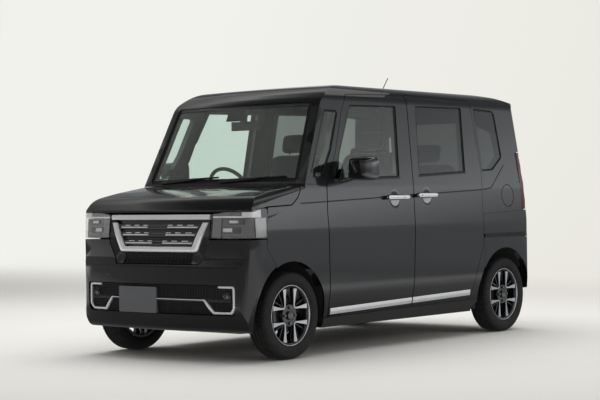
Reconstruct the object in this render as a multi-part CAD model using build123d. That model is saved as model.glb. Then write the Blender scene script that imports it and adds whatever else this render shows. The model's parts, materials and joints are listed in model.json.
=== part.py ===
from build123d import *
import math
import os

# A tall kei car with two hinged front doors, two sliding rear doors, a bonnet, a tailgate and a fuel lid.
#
# Frame: millimetres, +Z up, the nose towards -Y, the car's own left side towards +X.
# The origin lies on the ground, at the middle of the overall length and width.
#
# The outer skin is one closed form, body_form(depth). It is the overlap of three simple shapes: a side
# profile turned about a far vertical axis (so that nose, windscreen and tailgate bow in plan), a
# cross-section with tumblehome run along the car, and a plan outline with rounded corners.
# body_form(depth) is the same form with every profile moved inwards by depth, so a panel is the layer
# between two depths, cut out by its own outline.

os.makedirs("parts", exist_ok=True)

# ---------------------------------------------------------------- driving dimensions
BODY_LENGTH = 3395.0
BODY_WIDTH = 1475.0
BODY_HEIGHT = 1790.0
WHEELBASE = 2520.0
FRONT_OVERHANG = 492.0
TRACK = 1305.0
WHEEL_OFFSET = 40.0          # hub face of the wheel, outboard of its middle plane
SILL_BOTTOM = 176.0          # underside of the body between the wheels

TYRE_RADIUS = 277.0          # 155/65R14, standing under its load
TYRE_WIDTH = 155.0
TYRE_SEAT_RADIUS = 177.0     # bead seat of the 14 inch rim
RIM_FLANGE_RADIUS = 193.0
RIM_WIDTH = 132.0
RIM_WALL = 8.0
RIM_CORNER = 4.0             # fillet between bead seat and flange
SPOKE_COUNT = 8
HUB_RADIUS = 34.0
STUD_CIRCLE = 100.0          # pitch circle of the 4 wheel nuts
STUD_RADIUS = 6.0
DISC_RADIUS = 70.0
DISC_THICKNESS = 18.0
SPOKE_WIDTH = 22.0
SPOKE_SPREAD = 20.0          # each pair of arms stands this many degrees either side of its middle
FRONT_ARCH_RADIUS = 341.0
REAR_ARCH_RADIUS = 350.0
WELL_INNER_X = 395.0         # inboard end of the wheel wells

SKIN = 12.0                  # outer layer of doors, wings and bumpers
WALL = 55.0                  # whole thickness of doors, pillars and roof
SEAL_GAP = 0.5               # between a door's skin and the flange behind it
PANEL_GAP = 8.0              # between moving panels and their neighbours
FIXED_GAP = 3.0              # between panels that don't move
FLANGE_LAP = 42.0            # how far the door skins lap over the pillars
GLASS_SET_BACK = 5.0
GLASS = 4.0
GLASS_LAP = 14.0             # how far fixed glass laps its frame
TAILGATE_LAP = 30.0
GATE_SWING_GAP = 6.0          # more room beside the tailgate's inner frame, which rises as it opens
RIM_FIT = 0.3                # glass in its cut-out, tyre on its rim
SEAT_GAP = 0.4               # between a turning hub and what it sits on
SHEET = 15.0                 # floor and wheel house walls
WELL_GAP = 10.0
SILL_INNER_X = 640.0
FLOOR_BOTTOM = 205.0
FLOOR_TOP = 240.0
LOAD_FLOOR_Z = 500.0         # luggage floor over the rear axle
LOAD_FLOOR_REAR_Y = 1640.0
KICK_Y = 920.0               # step up to the luggage floor
FIREWALL_Y = -1000.0
PLENUM_FRONT_Y = -1100.0
PLENUM_TOP_Z = 1050.0
PLENUM_HALF = 600.0
WELL_OPEN_Z = 330.0          # the wheel houses are open below this height, for arms and axle
RAIL_X = 360.0               # front rails
BUMPER_BEAM_Z = 460.0
LAMP_CARRIER_X = 470.0
CARRIER_REAR_Y = -1500.0
HINGE_Y = -750.0             # front door hinge line
HINGE_SWEEP = 84.0           # the door's front edge turns within this radius of the hinge line
HINGE_CUT_TOP = 1225.0        # above it the whole door lies behind the hinge line
PILLAR_FRONT_Y = -910.0
PILLAR_INNER_X = 640.0
WING_REAR_Y = -824.0
WING_INNER_X = 610.0
BONNET_HOLLOW_X = 600.0

KINGPIN_X = 560.0
ARM_TOP_Z = 172.0
STRUT_FOOT_Z = 430.0
STRUT_FOOT_X = 538.0
STRUT_TOP_X = 500.0
STRUT_TOP_Z = 700.0
STRUT_RADIUS = 20.0
SPRING_RADIUS = 52.0
HUB_BODY_RADIUS = 45.0
BRAKE_RADIUS = 112.0
BRAKE_X = 655.0
BEAM_RADIUS = 30.0

STEERING_RADIUS = 175.0
STEERING_CENTRE = (-340.0, -560.0, 1070.0)
STEERING_TILT = 62.0         # of the wheel's plane from level, towards the driver
DASH_HALF = 598.0
SEAT_HALF = 590.0
SEAT_SPLIT = 90.0
SEAT_LEAN = 150.0
HEADREST_HALF = 120.0
HEADREST_HEIGHT = 150.0
# front edge Y, back edge Y, foot Z, cushion top Z, backrest top Z
FRONT_SEAT = (-430.0, 60.0, FLOOR_TOP, 700.0, 1340.0)
REAR_SEAT = (380.0, 820.0, FLOOR_TOP, 660.0, 1260.0)
ENGINE_HALF_WIDTH = 300.0
ENGINE_FRONT_Y, ENGINE_REAR_Y = -1520.0, -1060.0
ENGINE_BOTTOM_Z, ENGINE_TOP_Z = 270.0, 880.0
EXHAUST_X, EXHAUST_Z = 220.0, 172.0
PIPE_RADIUS = 22.0
ANTENNA_Y = 756.0
ANTENNA_LENGTH = 170.0
ANTENNA_LEAN = 38.0
# X from, X to, Y from, Y to, Z from, Z to of the left mirror's housing
MIRROR = (752.0, 935.0, -650.0, -535.0, 1125.0, 1282.0)
HANDLE_X = 738.0
HANDLE_DEPTH = 14.0
HANDLE_STAND = 16.0           # from the door's skin to the bar
DISH_RADIUS = 62.0            # the round hollow behind a handle
DISH_DEPTH = 8.0
DISH_AT = ((-77.0, 1009.0), (310.0, 1023.0))     # Y, Z on front and sliding door
HANDLE_HEIGHT = 26.0
FRONT_HANDLE = (-190.0, 75.0, 1013.0)      # Y from, Y to, Z
SLIDING_HANDLE = (168.0, 416.0, 1025.0)
PLATE_W, PLATE_H = 330.0, 165.0
PLATE_X, PLATE_Y, PLATE_Z = -148.0, -1694.0, 382.0
PLATE_DEPTH = 30.0
REAR_PLATE_Y, REAR_PLATE_Z = 1664.0, 885.0
FUEL_LID_GAP = 6.0
TOW_EYE_X, TOW_EYE_Z, TOW_EYE_RADIUS = -430.0, 545.0, 15.0
TOW_EYE_DEPTH_Y = -1560.0
BOW_FRONT = 2400.0           # the vertical axis that the nose is turned about lies this far behind the middle
BOW_REAR = 8000.0            # the same for the tail, ahead of the middle

HALF_L = BODY_LENGTH / 2
HALF_W = BODY_WIDTH / 2
FRONT_AXLE_Y = -HALF_L + FRONT_OVERHANG
REAR_AXLE_Y = FRONT_AXLE_Y + WHEELBASE
AXLE_Z = TYRE_RADIUS
WHEEL_X = TRACK / 2
SIDES = (("left", 1), ("right", -1))


# ---------------------------------------------------------------- outlines
def inset(points, depth):
    """Moves every edge of a counter-clockwise outline of (a, b, radius) corners inwards by depth."""
    n = len(points)
    moved = []
    for i in range(n):
        a0, b0, _ = points[i - 1]
        a1, b1, r = points[i]
        a2, b2, _ = points[(i + 1) % n]
        l1, l2 = math.hypot(a1 - a0, b1 - b0), math.hypot(a2 - a1, b2 - b1)
        u1, v1 = (a1 - a0) / l1, (b1 - b0) / l1
        u2, v2 = (a2 - a1) / l2, (b2 - b1) / l2
        turn = u1 * v2 - v1 * u2
        along = depth * (1 - (u1 * u2 + v1 * v2)) / turn if abs(turn) > 1e-9 else 0.0
        a, b = a1 - v1 * depth - u1 * along, b1 + u1 * depth - v1 * along
        moved.append((a, b, max(r - depth, 0.0) if turn > 0 else (r + depth if r else 0.0)))
    return moved


def outline(points, plane):
    """A face from (a, b, radius) corners joined by lines, each corner rounded by a tangent arc."""
    n = len(points)
    pieces, last_end, first_start = [], None, None
    for i in range(n):
        a0, b0, _ = points[i - 1]
        a1, b1, r = points[i]
        a2, b2, _ = points[(i + 1) % n]
        l1, l2 = math.hypot(a1 - a0, b1 - b0), math.hypot(a2 - a1, b2 - b1)
        u1, v1, u2, v2 = (a1 - a0) / l1, (b1 - b0) / l1, (a2 - a1) / l2, (b2 - b1) / l2
        half = math.acos(max(-1.0, min(1.0, u1 * u2 + v1 * v2))) / 2
        cut = min(r * math.tan(half), 0.48 * l1, 0.48 * l2)
        if cut > 0.05:
            start, end = (a1 - u1 * cut, b1 - v1 * cut), (a1 + u2 * cut, b1 + v2 * cut)
            radius = cut / math.tan(half)
            bulge = radius / math.cos(half) - radius
            da, db = u2 - u1, v2 - v1
            size = math.hypot(da, db)
            middle = (a1 + da / size * bulge, b1 + db / size * bulge)
        else:
            start = end = (a1, b1)
        if last_end is None:
            first_start = start
        else:
            pieces.append(Line(last_end, start))
        if cut > 0.05:
            pieces.append(ThreePointArc(start, middle, end))
        last_end = end
    pieces.append(Line(last_end, first_start))
    return plane * make_face(pieces)


SIDE_VIEW = Plane(origin=(0, 0, 0), x_dir=(0, 1, 0), z_dir=(1, 0, 0))      # a = Y, b = Z, extrudes along +X
FRONT_VIEW = Plane(origin=(0, 0, 0), x_dir=(1, 0, 0), z_dir=(0, -1, 0))    # a = X, b = Z, extrudes along -Y
PLAN_VIEW = Plane.XY


def across(points, x0, x1):
    """A side-view outline run across the car from x0 to x1."""
    low, high = min(x0, x1), max(x0, x1)
    return Pos(low, 0, 0) * extrude(outline(points, SIDE_VIEW), high - low)


def along(points, y0, y1):
    """A front-view outline run along the car from y0 to y1."""
    low, high = min(y0, y1), max(y0, y1)
    return Pos(0, high, 0) * extrude(outline(points, FRONT_VIEW), high - low)


def block(x0, x1, y0, y1, z0, z1):
    return Pos((x0 + x1) / 2, (y0 + y1) / 2, (z0 + z1) / 2) * Box(abs(x1 - x0), abs(y1 - y0), abs(z1 - z0))


def cylinder_x(radius, x0, x1, y, z):
    return Pos((x0 + x1) / 2, y, z) * Rot(0, 90, 0) * Cylinder(radius, abs(x1 - x0))


def mirrored(points):
    """The whole of a symmetric front-view outline, from its right half given bottom to top."""
    return points + [(-a, b, r) for a, b, r in reversed(points)]


# ---------------------------------------------------------------- the body's form
NOSE = -HALF_L
TAIL = HALF_L
HOOD_FRONT_Z = 928.0          # shut line above the grille
COWL = (-1112.0, 1108.0)      # foot of the windscreen on the centre line
HEADER = (-852.0, 1655.0)     # top of the windscreen on the centre line

# Each row: Y, Z, corner radius, on the centre line, counter-clockwise seen from the car's left side.
MID_OVERLAP = 200.0
CABIN_FRONT = [
    (MID_OVERLAP, SILL_BOTTOM, 0), (MID_OVERLAP, BODY_HEIGHT, 0), (-330, BODY_HEIGHT, 2600),
    (-700, 1748, 500), (HEADER[0], HEADER[1], 160), (COWL[0], COWL[1], 0),
    (COWL[0] - 60, SILL_BOTTOM + 600, 0), (COWL[0] - 60, SILL_BOTTOM, 0),
]
NOSE_PROFILE = [
    (-600, SILL_BOTTOM, 0), (-600, 1178, 0), (-1150, 1098, 400), (-1400, 1062, 900), (-1590, 1022, 150),
    (NOSE + 42, HOOD_FRONT_Z + 12, 60), (NOSE + 22, 790, 300), (NOSE + 28, 640, 30), (NOSE, 592, 40),
    (NOSE, 330, 160), (NOSE + 50, SILL_BOTTOM + 10, 60),
]
CABIN_REAR = [
    (-MID_OVERLAP, SILL_BOTTOM, 0), (TAIL - 70, SILL_BOTTOM, 50), (TAIL, 330, 120), (TAIL, 640, 40),
    (TAIL - 42, 735, 30), (TAIL - 50, 1090, 900), (TAIL - 108, 1668, 30), (TAIL - 88, 1722, 18),
    (1450, 1752, 900), (900, BODY_HEIGHT, 3000), (-MID_OVERLAP, BODY_HEIGHT, 0),
]
# Each row: half-width X, Z, corner radius.
SECTION = [
    (690, SILL_BOTTOM - 40, 0), (HALF_W, 420, 500), (HALF_W, 800, 700), (716, 1080, 900),
    (643, 1680, 90), (575, 1766, 160), (250, BODY_HEIGHT + 4, 1500),
]
# The bonnet's shoulders, measured down from the bonnet's own top line.
SHOULDER = [
    (HALF_W + 20, -900, 0), (HALF_W + 20, -230, 0), (727, -150, 60), (722, 0, 95),
]
PLAN = [
    (HALF_W + 2, -1634, 150), (HALF_W + 2, 1672, 85), (400, TAIL + 20, 0), (-400, TAIL + 20, 0),
    (-HALF_W - 2, 1672, 85), (-HALF_W - 2, -1634, 150), (-400, NOSE - 20, 0), (400, NOSE - 20, 0),
]


def turned(points, axis_y):
    """A side-view profile turned about the vertical line through axis_y, far enough to pass both sides."""
    reach = math.degrees(math.asin(min(0.95, (HALF_W + 120) / abs(axis_y))))
    face = outline(points, SIDE_VIEW)
    axis = Axis((0, axis_y, 0), (0, 0, 1))
    return revolve(face.rotate(axis, -reach), axis, 2 * reach)


def ccw(points):
    """The same outline, listed counter-clockwise."""
    area = sum(a0 * b1 - a1 * b0 for (a0, b0, _), (a1, b1, _) in zip(points, points[1:] + points[:1]))
    return points if area > 0 else list(reversed(points))


def body_form(depth):
    """The closed form of the whole body with its skin moved inwards by depth."""
    far = 2 * BODY_LENGTH
    front = turned(inset(ccw(CABIN_FRONT), depth), BOW_FRONT) & block(-far, far, -far, 0, -far, far)
    rear = turned(inset(ccw(CABIN_REAR), depth), -BOW_REAR) & block(-far, far, 0, far, -far, far)
    slope = (1098 - 1022) / (1590 - 1150)
    top = inset(ccw(mirrored(SHOULDER)), depth)
    shoulders = Pos(0, -1150 - 700, 1098 - 700 * slope) * extrude(
        outline(top, Plane(origin=(0, 0, 0), x_dir=(1, 0, 0), z_dir=(0, -1, 0))), 1400, dir=(0, 1, slope))
    nose = turned(inset(ccw(NOSE_PROFILE), depth), BOW_FRONT) & shoulders & block(
        -far, far, -far, COWL[0] + 190, -far, far)
    whole = front + rear + nose
    section = along(inset(ccw(mirrored(SECTION)), depth), -far, far)
    plan = extrude(outline(inset(ccw(PLAN), depth), PLAN_VIEW), 2 * BODY_HEIGHT)
    return whole & section & plan


# ---------------------------------------------------------------- side-view outlines: Y, Z, corner radius
SILL_TOP_FRONT, SILL_TOP_REAR = 240.0, 264.0       # the sill cover's upper edge, at the two arches
SILL_FRONT_Y, SILL_REAR_Y = FRONT_AXLE_Y + 322, REAR_AXLE_Y - 372
PILLAR_TOP = (189.0, 1727.0)                       # the line where front and rear doors meet
PILLAR_BELT = (161.0, 1153.0)
PILLAR_FOOT = (117.0, 258.0)
FRONT_DOOR = [
    (-820, 250, 12), (PILLAR_FOOT[0], PILLAR_FOOT[1], 0), (PILLAR_BELT[0], PILLAR_BELT[1], 0),
    (PILLAR_TOP[0], PILLAR_TOP[1], 0), (-505, 1705, 60), (-580, 1585, 300), (-693, 1309, 0),
    (-816, 1100, 60), (-830, 928, 0),
]
SLIDING_DOOR = [
    (PILLAR_FOOT[0], PILLAR_FOOT[1], 0), (856, 268, 12), (921, 453, 200), (1019, 663, 200), (1024, 979, 0),
    (1048, 1181, 0), (992, 1718, 40), (PILLAR_TOP[0], PILLAR_TOP[1], 0),
    (PILLAR_BELT[0], PILLAR_BELT[1], 0),
]
FRONT_DOOR_WINDOW = [
    (-742, 1134, 25), (4, 1155, 15), (48, 1643, 15), (-480, 1632, 30), (-640, 1330, 200),
]
SLIDING_DOOR_WINDOW = [(240, 1165, 15), (832, 1192, 15), (868, 1658, 15), (284, 1650, 15)]
REAR_QUARTER_WINDOW = [
    (1058, 1196, 12), (1205, 1203, 40), (1352, 1300, 40), (1310, 1648, 50), (1030, 1658, 12),
]
FRONT_QUARTER_WINDOW = [
    (-985, 1150, 30), (-862, 1136, 30), (-735, 1322, 60), (-612, 1592, 25), (-762, 1592, 25),
]
NOSE_REGION = [
    (-1900, 0, 0), (-810, 0, 0), (-810, 250, 0), (-820, 928, 0), (-806, 1096, 0), (-820, 1101, 0),
    (-1068, 1106, 0), (-1400, 1190, 0), (-1900, 1190, 0),
]
BONNET_REAR_Y = COWL[0] - 34
BONNET = [                    # turned with the nose, so that its rear edge bows as the windscreen does
    (-1950, HOOD_FRONT_Z, 0), (-1630, HOOD_FRONT_Z + 2, 0), (-1500, 962, 0), (-1262, 972, 40),
    (-1196, 1020, 60), (BONNET_REAR_Y, 1100, 0), (BONNET_REAR_Y, 1400, 0), (-1950, 1400, 0),
]
BUMPER_EDGE = [(-1433, 770), (-1456, 712), (-1374, 604)]   # the seam between front wing and bumper
RAIL_Z = 722.0                # the sliding door's middle rail, in the rear quarter
RAIL_HEIGHT = 30.0
REAR_BUMPER_TOP = 704.0
REAR_BUMPER_FRONT_Y = 1030.0
FUEL_LID = (1379.0, 1014.0)
FUEL_LID_RADIUS = 85.0

# front- and rear-view outlines: X, Z, corner radius, right half
WINDSCREEN = [(652, 1122, 30), (588, 1642, 30)]
HEADLAMP = [(440, 764, 20), (760, 770, 0), (760, 958, 0), (440, 925, 0)]
HEADLAMP_REAR_Y = (-1447.0, -1428.0)      # side edge of the lamp, low and high
GRILLE_TOP = 925.0
GRILLE = [(-366, 606, 20), (366, 606, 20), (436, 736, 20), (436, GRILLE_TOP, 0), (-436, GRILLE_TOP, 0),
          (-436, 736, 20)]
GRILLE_SLOT = (618, 672)      # the open mesh below the bright U, low and high
GRILLE_DEPTH = 20.0
GRILLE_BAR_HALF = 330.0
TOP_BAR = [(430, 884, 0), (430, 921, 0)]               # bright bar over the grille, right half
FRAME_OUTER = [(333, 686, 30), (419, 868, 0)]          # bright U round the grille, right half
FRAME_INNER = [(300, 712, 12), (382, 900, 0)]
BAR_Z = (838.0, 790.0, 738.0)
BAR_HEIGHT = 7.0
INTAKE = [(640, 296, 30), (640, 485, 20), (-640, 485, 20), (-640, 296, 30)]
INTAKE_SLOTS = ((316, 372), (402, 466))
INTAKE_SLOT_HALF = 380.0
INTAKE_TRIM = [(468, 303, 10), (604, 303, 30), (632, 340, 20), (632, 480, 14), (520, 480, 0), (500, 466, 0),
               (614, 466, 8), (616, 350, 10), (594, 319, 10), (474, 319, 6), (404, 398, 6), (390, 398, 0),
               (390, 386, 0), (396, 386, 4)]
TAILGATE = [(600, 742, 30), (600, 1330, 60), (618, 1400, 60), (588, 1690, 20), (560, 1800, 0)]
TAILGATE_WINDOW = [(560, 1150, 40), (540, 1600, 50)]
TAIL_LAMP = [(612, 905, 15), (760, 905, 0), (760, 1345, 0), (612, 1345, 15)]
TAIL_LAMP_FRONT_Y = TAIL - 128
TAILGATE_FRONT_Y = 1490.0     # its shut line in the roof
RAIL_REAR_Y = 1590.0

FAR = 900.0


def half(side, points, inner=200.0):
    """A side-view outline run through one flank only."""
    return across(ccw(points), side * inner, side * FAR)


def both(points, inner=200.0):
    return half(1, points, inner) + half(-1, points, inner)


def shrink(points, gap):
    return inset(ccw(points), gap)


def layer(outer, inner):
    return forms[outer] - forms[inner]


def save(name, shape):
    """Writes one node, after dropping crumbs that a cut may have left."""
    solids = [s for s in shape.solids() if s.volume > 300.0]
    export_step(solids[0] if len(solids) == 1 else Compound(children=solids), f"parts/{name}.step")


OUTER, GLASS_OUT, GLASS_IN, SKIN_IN = 0.0, GLASS_SET_BACK, GLASS_SET_BACK + GLASS, SKIN
FLANGE_OUT, INNER = SKIN + SEAL_GAP, WALL
forms = {depth: body_form(depth) for depth in
         (OUTER, GLASS_OUT, GLASS_IN, SKIN_IN, FLANGE_OUT, GRILLE_DEPTH, INNER)}

# ---------------------------------------------------------------- cuts shared by several pieces
AXLES = (("front", FRONT_AXLE_Y, FRONT_ARCH_RADIUS), ("rear", REAR_AXLE_Y, REAR_ARCH_RADIUS))


def wells(extra, inner_x):
    """The four wheel wells, each radius larger by extra, from inner_x outwards."""
    cut = None
    for _, axle_y, radius in AXLES:
        for _, side in SIDES:
            one = cylinder_x(radius + extra, side * inner_x, side * FAR, axle_y, AXLE_Z)
            cut = one if cut is None else cut + one
    return cut


arch_cut = wells(0, WELL_INNER_X)
well_cut = wells(WELL_GAP, WELL_INNER_X - WELL_GAP)
sill_region = [
    (SILL_FRONT_Y - 200, 0, 0), (SILL_REAR_Y + 200, 0, 0), (SILL_REAR_Y + 200, SILL_TOP_REAR, 0),
    (SILL_FRONT_Y - 200, SILL_TOP_FRONT, 0),
]
bumper_region = [
    (REAR_BUMPER_FRONT_Y, 0, 0), (2000, 0, 0), (2000, REAR_BUMPER_TOP, 0),
    (REAR_BUMPER_FRONT_Y, REAR_BUMPER_TOP, 0),
]
tailgate_points = mirrored(TAILGATE)
tail_lamp_sides = (TAIL_LAMP, [(-a, b, r) for a, b, r in TAIL_LAMP])
fuel_y, fuel_z = FUEL_LID
steering_place = Pos(*STEERING_CENTRE) * Rot(-STEERING_TILT, 0, 0)


def combine(shapes):
    """One shape from a list, joined in turn."""
    whole = shapes[0]
    for shape in shapes[1:]:
        whole = whole + shape
    return whole


# ---------------------------------------------------------------- body in white
def make_body_shell():
    """Roof, pillars, rear quarters, the flanges behind the doors and the antenna."""
    skin = layer(OUTER, FLANGE_OUT)
    frame = layer(FLANGE_OUT, INNER)
    for points in (FRONT_DOOR, SLIDING_DOOR):
        skin = skin - both(points)
        frame = frame - both(shrink(points, FLANGE_LAP))
    frame = frame - both([(-850, 250, 0), (HINGE_Y + HINGE_SWEEP, 250, 0),
                          (HINGE_Y + HINGE_SWEEP, HINGE_CUT_TOP, 0), (-850, HINGE_CUT_TOP, 0)])
    for points in (REAR_QUARTER_WINDOW, FRONT_QUARTER_WINDOW):
        skin = skin - both(points)
        frame = frame - both(shrink(points, GLASS_LAP))
    skin = skin - along(ccw(mirrored(WINDSCREEN)), -1500, -640)
    frame = frame - along(shrink(mirrored(WINDSCREEN), GLASS_LAP), -1500, -640)
    skin = skin - along(ccw(tailgate_points), TAILGATE_FRONT_Y, 2000)
    frame = frame - along(shrink(tailgate_points, TAILGATE_LAP), TAILGATE_FRONT_Y, 2000)
    for points in tail_lamp_sides:
        skin = skin - along(ccw(points), TAIL_LAMP_FRONT_Y, 2000)
    rail_low, rail_high = RAIL_Z - RAIL_HEIGHT / 2, RAIL_Z + RAIL_HEIGHT / 2
    skin = skin - both([(1000, rail_low, 0), (RAIL_REAR_Y, rail_low, 0), (RAIL_REAR_Y, rail_high, 0),
                        (1000, rail_high, 0)])
    skin = skin - both(bumper_region) - both(sill_region)
    skin = skin - block(-FAR, FAR, REAR_BUMPER_FRONT_Y, 2000, 0, REAR_BUMPER_TOP)
    skin = skin - cylinder_x(FUEL_LID_RADIUS, 300, FAR, fuel_y, fuel_z)
    shell = skin + frame - across(NOSE_REGION, -FAR, FAR)
    shell = shell - block(-SILL_INNER_X, SILL_INNER_X, -2000, 1640, 0, 300) - well_cut
    shell = shell - block(-FAR, FAR, -2000, SILL_REAR_Y + 300, 0, SILL_BOTTOM + SKIN + SEAL_GAP)
    mast = Pos(0, ANTENNA_Y, BODY_HEIGHT - 14) * Rot(-ANTENNA_LEAN, 0, 0) * (
        Pos(0, 0, 12) * Cylinder(12, 24) + Pos(0, 0, ANTENNA_LENGTH / 2) * Cylinder(3.2, ANTENNA_LENGTH))
    return shell + (mast - forms[SKIN_IN])


def make_floor_pan():
    """Floor, sills, wheel houses, firewall, hinge pillars and the rails and carriers of the nose."""
    inner_x = SILL_INNER_X
    pieces = [
        block(-inner_x, inner_x, FIREWALL_Y, KICK_Y, FLOOR_BOTTOM, FLOOR_TOP),
        block(-inner_x, inner_x, KICK_Y, KICK_Y + SHEET, FLOOR_BOTTOM, LOAD_FLOOR_Z),
        block(-inner_x, inner_x, KICK_Y, LOAD_FLOOR_REAR_Y, LOAD_FLOOR_Z - SHEET, LOAD_FLOOR_Z),
        block(-inner_x, inner_x, FIREWALL_Y, FIREWALL_Y + SHEET, FLOOR_BOTTOM, PLENUM_TOP_Z),
        block(-PLENUM_HALF, PLENUM_HALF, PLENUM_FRONT_Y, FIREWALL_Y, PLENUM_TOP_Z - 30, PLENUM_TOP_Z),
        block(-PLENUM_HALF, PLENUM_HALF, FIREWALL_Y - 45, FIREWALL_Y, PLENUM_TOP_Z - 30, COWL[1] + 40),
    ]
    for _, side in SIDES:
        pieces.append(block(side * (RAIL_X - 20), side * (RAIL_X + 20), -1640, FIREWALL_Y,
                            BUMPER_BEAM_Z - 40, BUMPER_BEAM_Z + 40))
        pieces.append(block(side * 600, side * 760, PILLAR_FRONT_Y, HINGE_Y - HINGE_SWEEP,
                            FLOOR_BOTTOM, 1085))
        pieces.append(block(side * 600, side * PILLAR_INNER_X, PILLAR_FRONT_Y, HINGE_Y + 20,
                            FLOOR_TOP, 1085))
    pieces.append(block(-600, 600, -1700, -1570, BUMPER_BEAM_Z - 40, BUMPER_BEAM_Z + 40))
    pan = combine(pieces) - well_cut
    for _, axle_y, radius in AXLES:
        for _, side in SIDES:
            house = cylinder_x(radius + WELL_GAP + SHEET, side * (WELL_INNER_X - WELL_GAP - SHEET),
                               side * FAR, axle_y, AXLE_Z)
            clear = block(-FAR, FAR, axle_y - 500, axle_y + 500, -200, WELL_OPEN_Z)
            pan = pan + (house - well_cut - clear)
    pan = (pan & forms[INNER]) - turned(shrink(BONNET, -0.5), BOW_FRONT)
    carriers = combine([block(side * LAMP_CARRIER_X, side * 600, -1700, CARRIER_REAR_Y,
                              BUMPER_BEAM_Z - 40, 1000) for _, side in SIDES])
    carriers = (carriers & forms[INNER]) - turned(shrink(BONNET, PANEL_GAP / 2 - SEAT_GAP), BOW_FRONT)
    carriers = carriers - well_cut
    pan = pan + carriers
    sills = layer(OUTER, FLANGE_OUT) & both(
        [(SILL_FRONT_Y - 60, 0, 0), (SILL_REAR_Y - 60, 0, 0), (SILL_REAR_Y - 60, 205, 0),
         (SILL_REAR_Y + 60, SILL_TOP_REAR - FIXED_GAP, 0),
         (SILL_FRONT_Y - 60, SILL_TOP_FRONT - FIXED_GAP, 0)],
        SILL_INNER_X - 60)
    lips = block(-SILL_INNER_X, SILL_INNER_X, SILL_FRONT_Y + 20, SILL_REAR_Y - 80, SILL_BOTTOM, FLOOR_BOTTOM)
    lips = lips - block(-SILL_INNER_X + 60, SILL_INNER_X - 60, -FAR, FAR, 0, FLOOR_BOTTOM)
    pillar_feet = (layer(SKIN_IN, INNER) & (
        block(600, 760, PILLAR_FRONT_Y, HINGE_Y - HINGE_SWEEP, FLOOR_BOTTOM, 1085)
        + block(-760, -600, PILLAR_FRONT_Y, HINGE_Y - HINGE_SWEEP, FLOOR_BOTTOM, 1085))) - well_cut
    return pan + pillar_feet + (sills + lips - well_cut)


def make_front_wing(side):
    """The front wing between bumper, bonnet, door and arch, with a flange that sits on the wheel house."""
    seam = FIXED_GAP
    edge = [(FRONT_AXLE_Y + seam, AXLE_Z, 0), (FRONT_AXLE_Y + seam, 100, 0), (WING_REAR_Y, 100, 0),
            (WING_REAR_Y, 250, 0),
            (WING_REAR_Y - 10, 928, 0), (WING_REAR_Y + 2, 1100, 0), (-1068, 1103, 0), (-1400, 1186, 0),
            (HEADLAMP_REAR_Y[1] + seam, 1190, 0), (HEADLAMP_REAR_Y[1] + seam, 958, 0),
            (HEADLAMP_REAR_Y[0] + seam, 770, 0), (BUMPER_EDGE[1][0] + seam, BUMPER_EDGE[1][1], 0),
            (BUMPER_EDGE[2][0] + seam, BUMPER_EDGE[2][1], 0)]
    region = half(side, edge, WING_INNER_X)
    wing = layer(OUTER, SKIN_IN) & region
    flange = layer(SKIN_IN, INNER) & region & cylinder_x(
        FRONT_ARCH_RADIUS + WELL_GAP + SHEET, side * 500, side * FAR, FRONT_AXLE_Y, AXLE_Z)
    wing = wing + (flange - block(-FAR, FAR, PILLAR_FRONT_Y, 0, 0, 2000))
    wing = wing - turned(shrink(BONNET, -PANEL_GAP / 2), BOW_FRONT) - half(side, shrink(sill_region, 0))
    return wing - arch_cut


def make_cowl():
    """The trim between bonnet and windscreen."""
    region = turned([(BONNET_REAR_Y + PANEL_GAP / 2, 900, 0), (-700, 900, 0), (-700, 1400, 0),
                     (BONNET_REAR_Y + PANEL_GAP / 2, 1400, 0)], BOW_FRONT)
    strip = layer(OUTER, INNER) & region & across(shrink(NOSE_REGION, 0.5), -PLENUM_HALF, PLENUM_HALF)
    strip = strip & block(-FAR, FAR, -2000, -700, 1050, 1300)
    return strip


# ---------------------------------------------------------------- moving panels
def make_door(points, window, side, skin_depth, dish_at):
    """A skin that laps the body's flange, a box behind it, a cut window and a dish."""
    skin = layer(OUTER, skin_depth) & half(side, shrink(points, PANEL_GAP / 2))
    box = layer(SKIN_IN, INNER) & half(side, shrink(points, FLANGE_LAP + PANEL_GAP))
    radius = (DISH_RADIUS ** 2 + DISH_DEPTH ** 2) / (2 * DISH_DEPTH)
    ball = Rot(0, 0, 90 - 90 * side) * Sphere(radius)      # its seam faces away from the door
    dish = Pos(side * (HANDLE_X - HANDLE_STAND + radius - DISH_DEPTH), *dish_at) * ball
    return skin + box - half(side, window) - well_cut - dish


def handle(side, y0, y1, z):
    """A pull bar on two feet, standing off the door's skin."""
    x = HANDLE_X
    bar = block(side * x, side * (x + HANDLE_DEPTH), y0, y1, z - HANDLE_HEIGHT / 2, z + HANDLE_HEIGHT / 2)
    bar = fillet(bar.edges().filter_by(Axis.Y), 5)
    feet = combine([block(side * (x - 45), side * (x + 4), y, y + 26, z - 9, z + 9)
                    for y in (y0 + 4, y1 - 30)])
    return bar + (feet - forms[SKIN_IN])


def make_bonnet():
    """A lid with a turned-down rim, open below."""
    lid = layer(OUTER, INNER) & turned(shrink(BONNET, PANEL_GAP / 2), BOW_FRONT)
    hollow = forms[SKIN_IN] & turned(shrink(BONNET, PANEL_GAP / 2 + 45), BOW_FRONT)
    return lid - (hollow & block(-BONNET_HOLLOW_X, BONNET_HOLLOW_X, -2000, 0, 0, 2000))


def make_tailgate():
    """The rear door with the roof's trailing edge, and the window cut through."""
    region = along(shrink(tailgate_points, PANEL_GAP), TAILGATE_FRONT_Y + PANEL_GAP, 2000)
    inset = TAILGATE_LAP + PANEL_GAP + GATE_SWING_GAP
    box = along(shrink(tailgate_points, inset), TAILGATE_FRONT_Y + PANEL_GAP, 2000)
    gate = (layer(OUTER, SKIN_IN) & region) + (layer(SKIN_IN, INNER) & box)
    return gate - along(ccw(mirrored(TAILGATE_WINDOW)), 1540, 2000)


# ---------------------------------------------------------------- nose
def nose_cut(points, gap=0.0):
    return along(shrink(points, gap), -2000, -1400)


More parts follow.
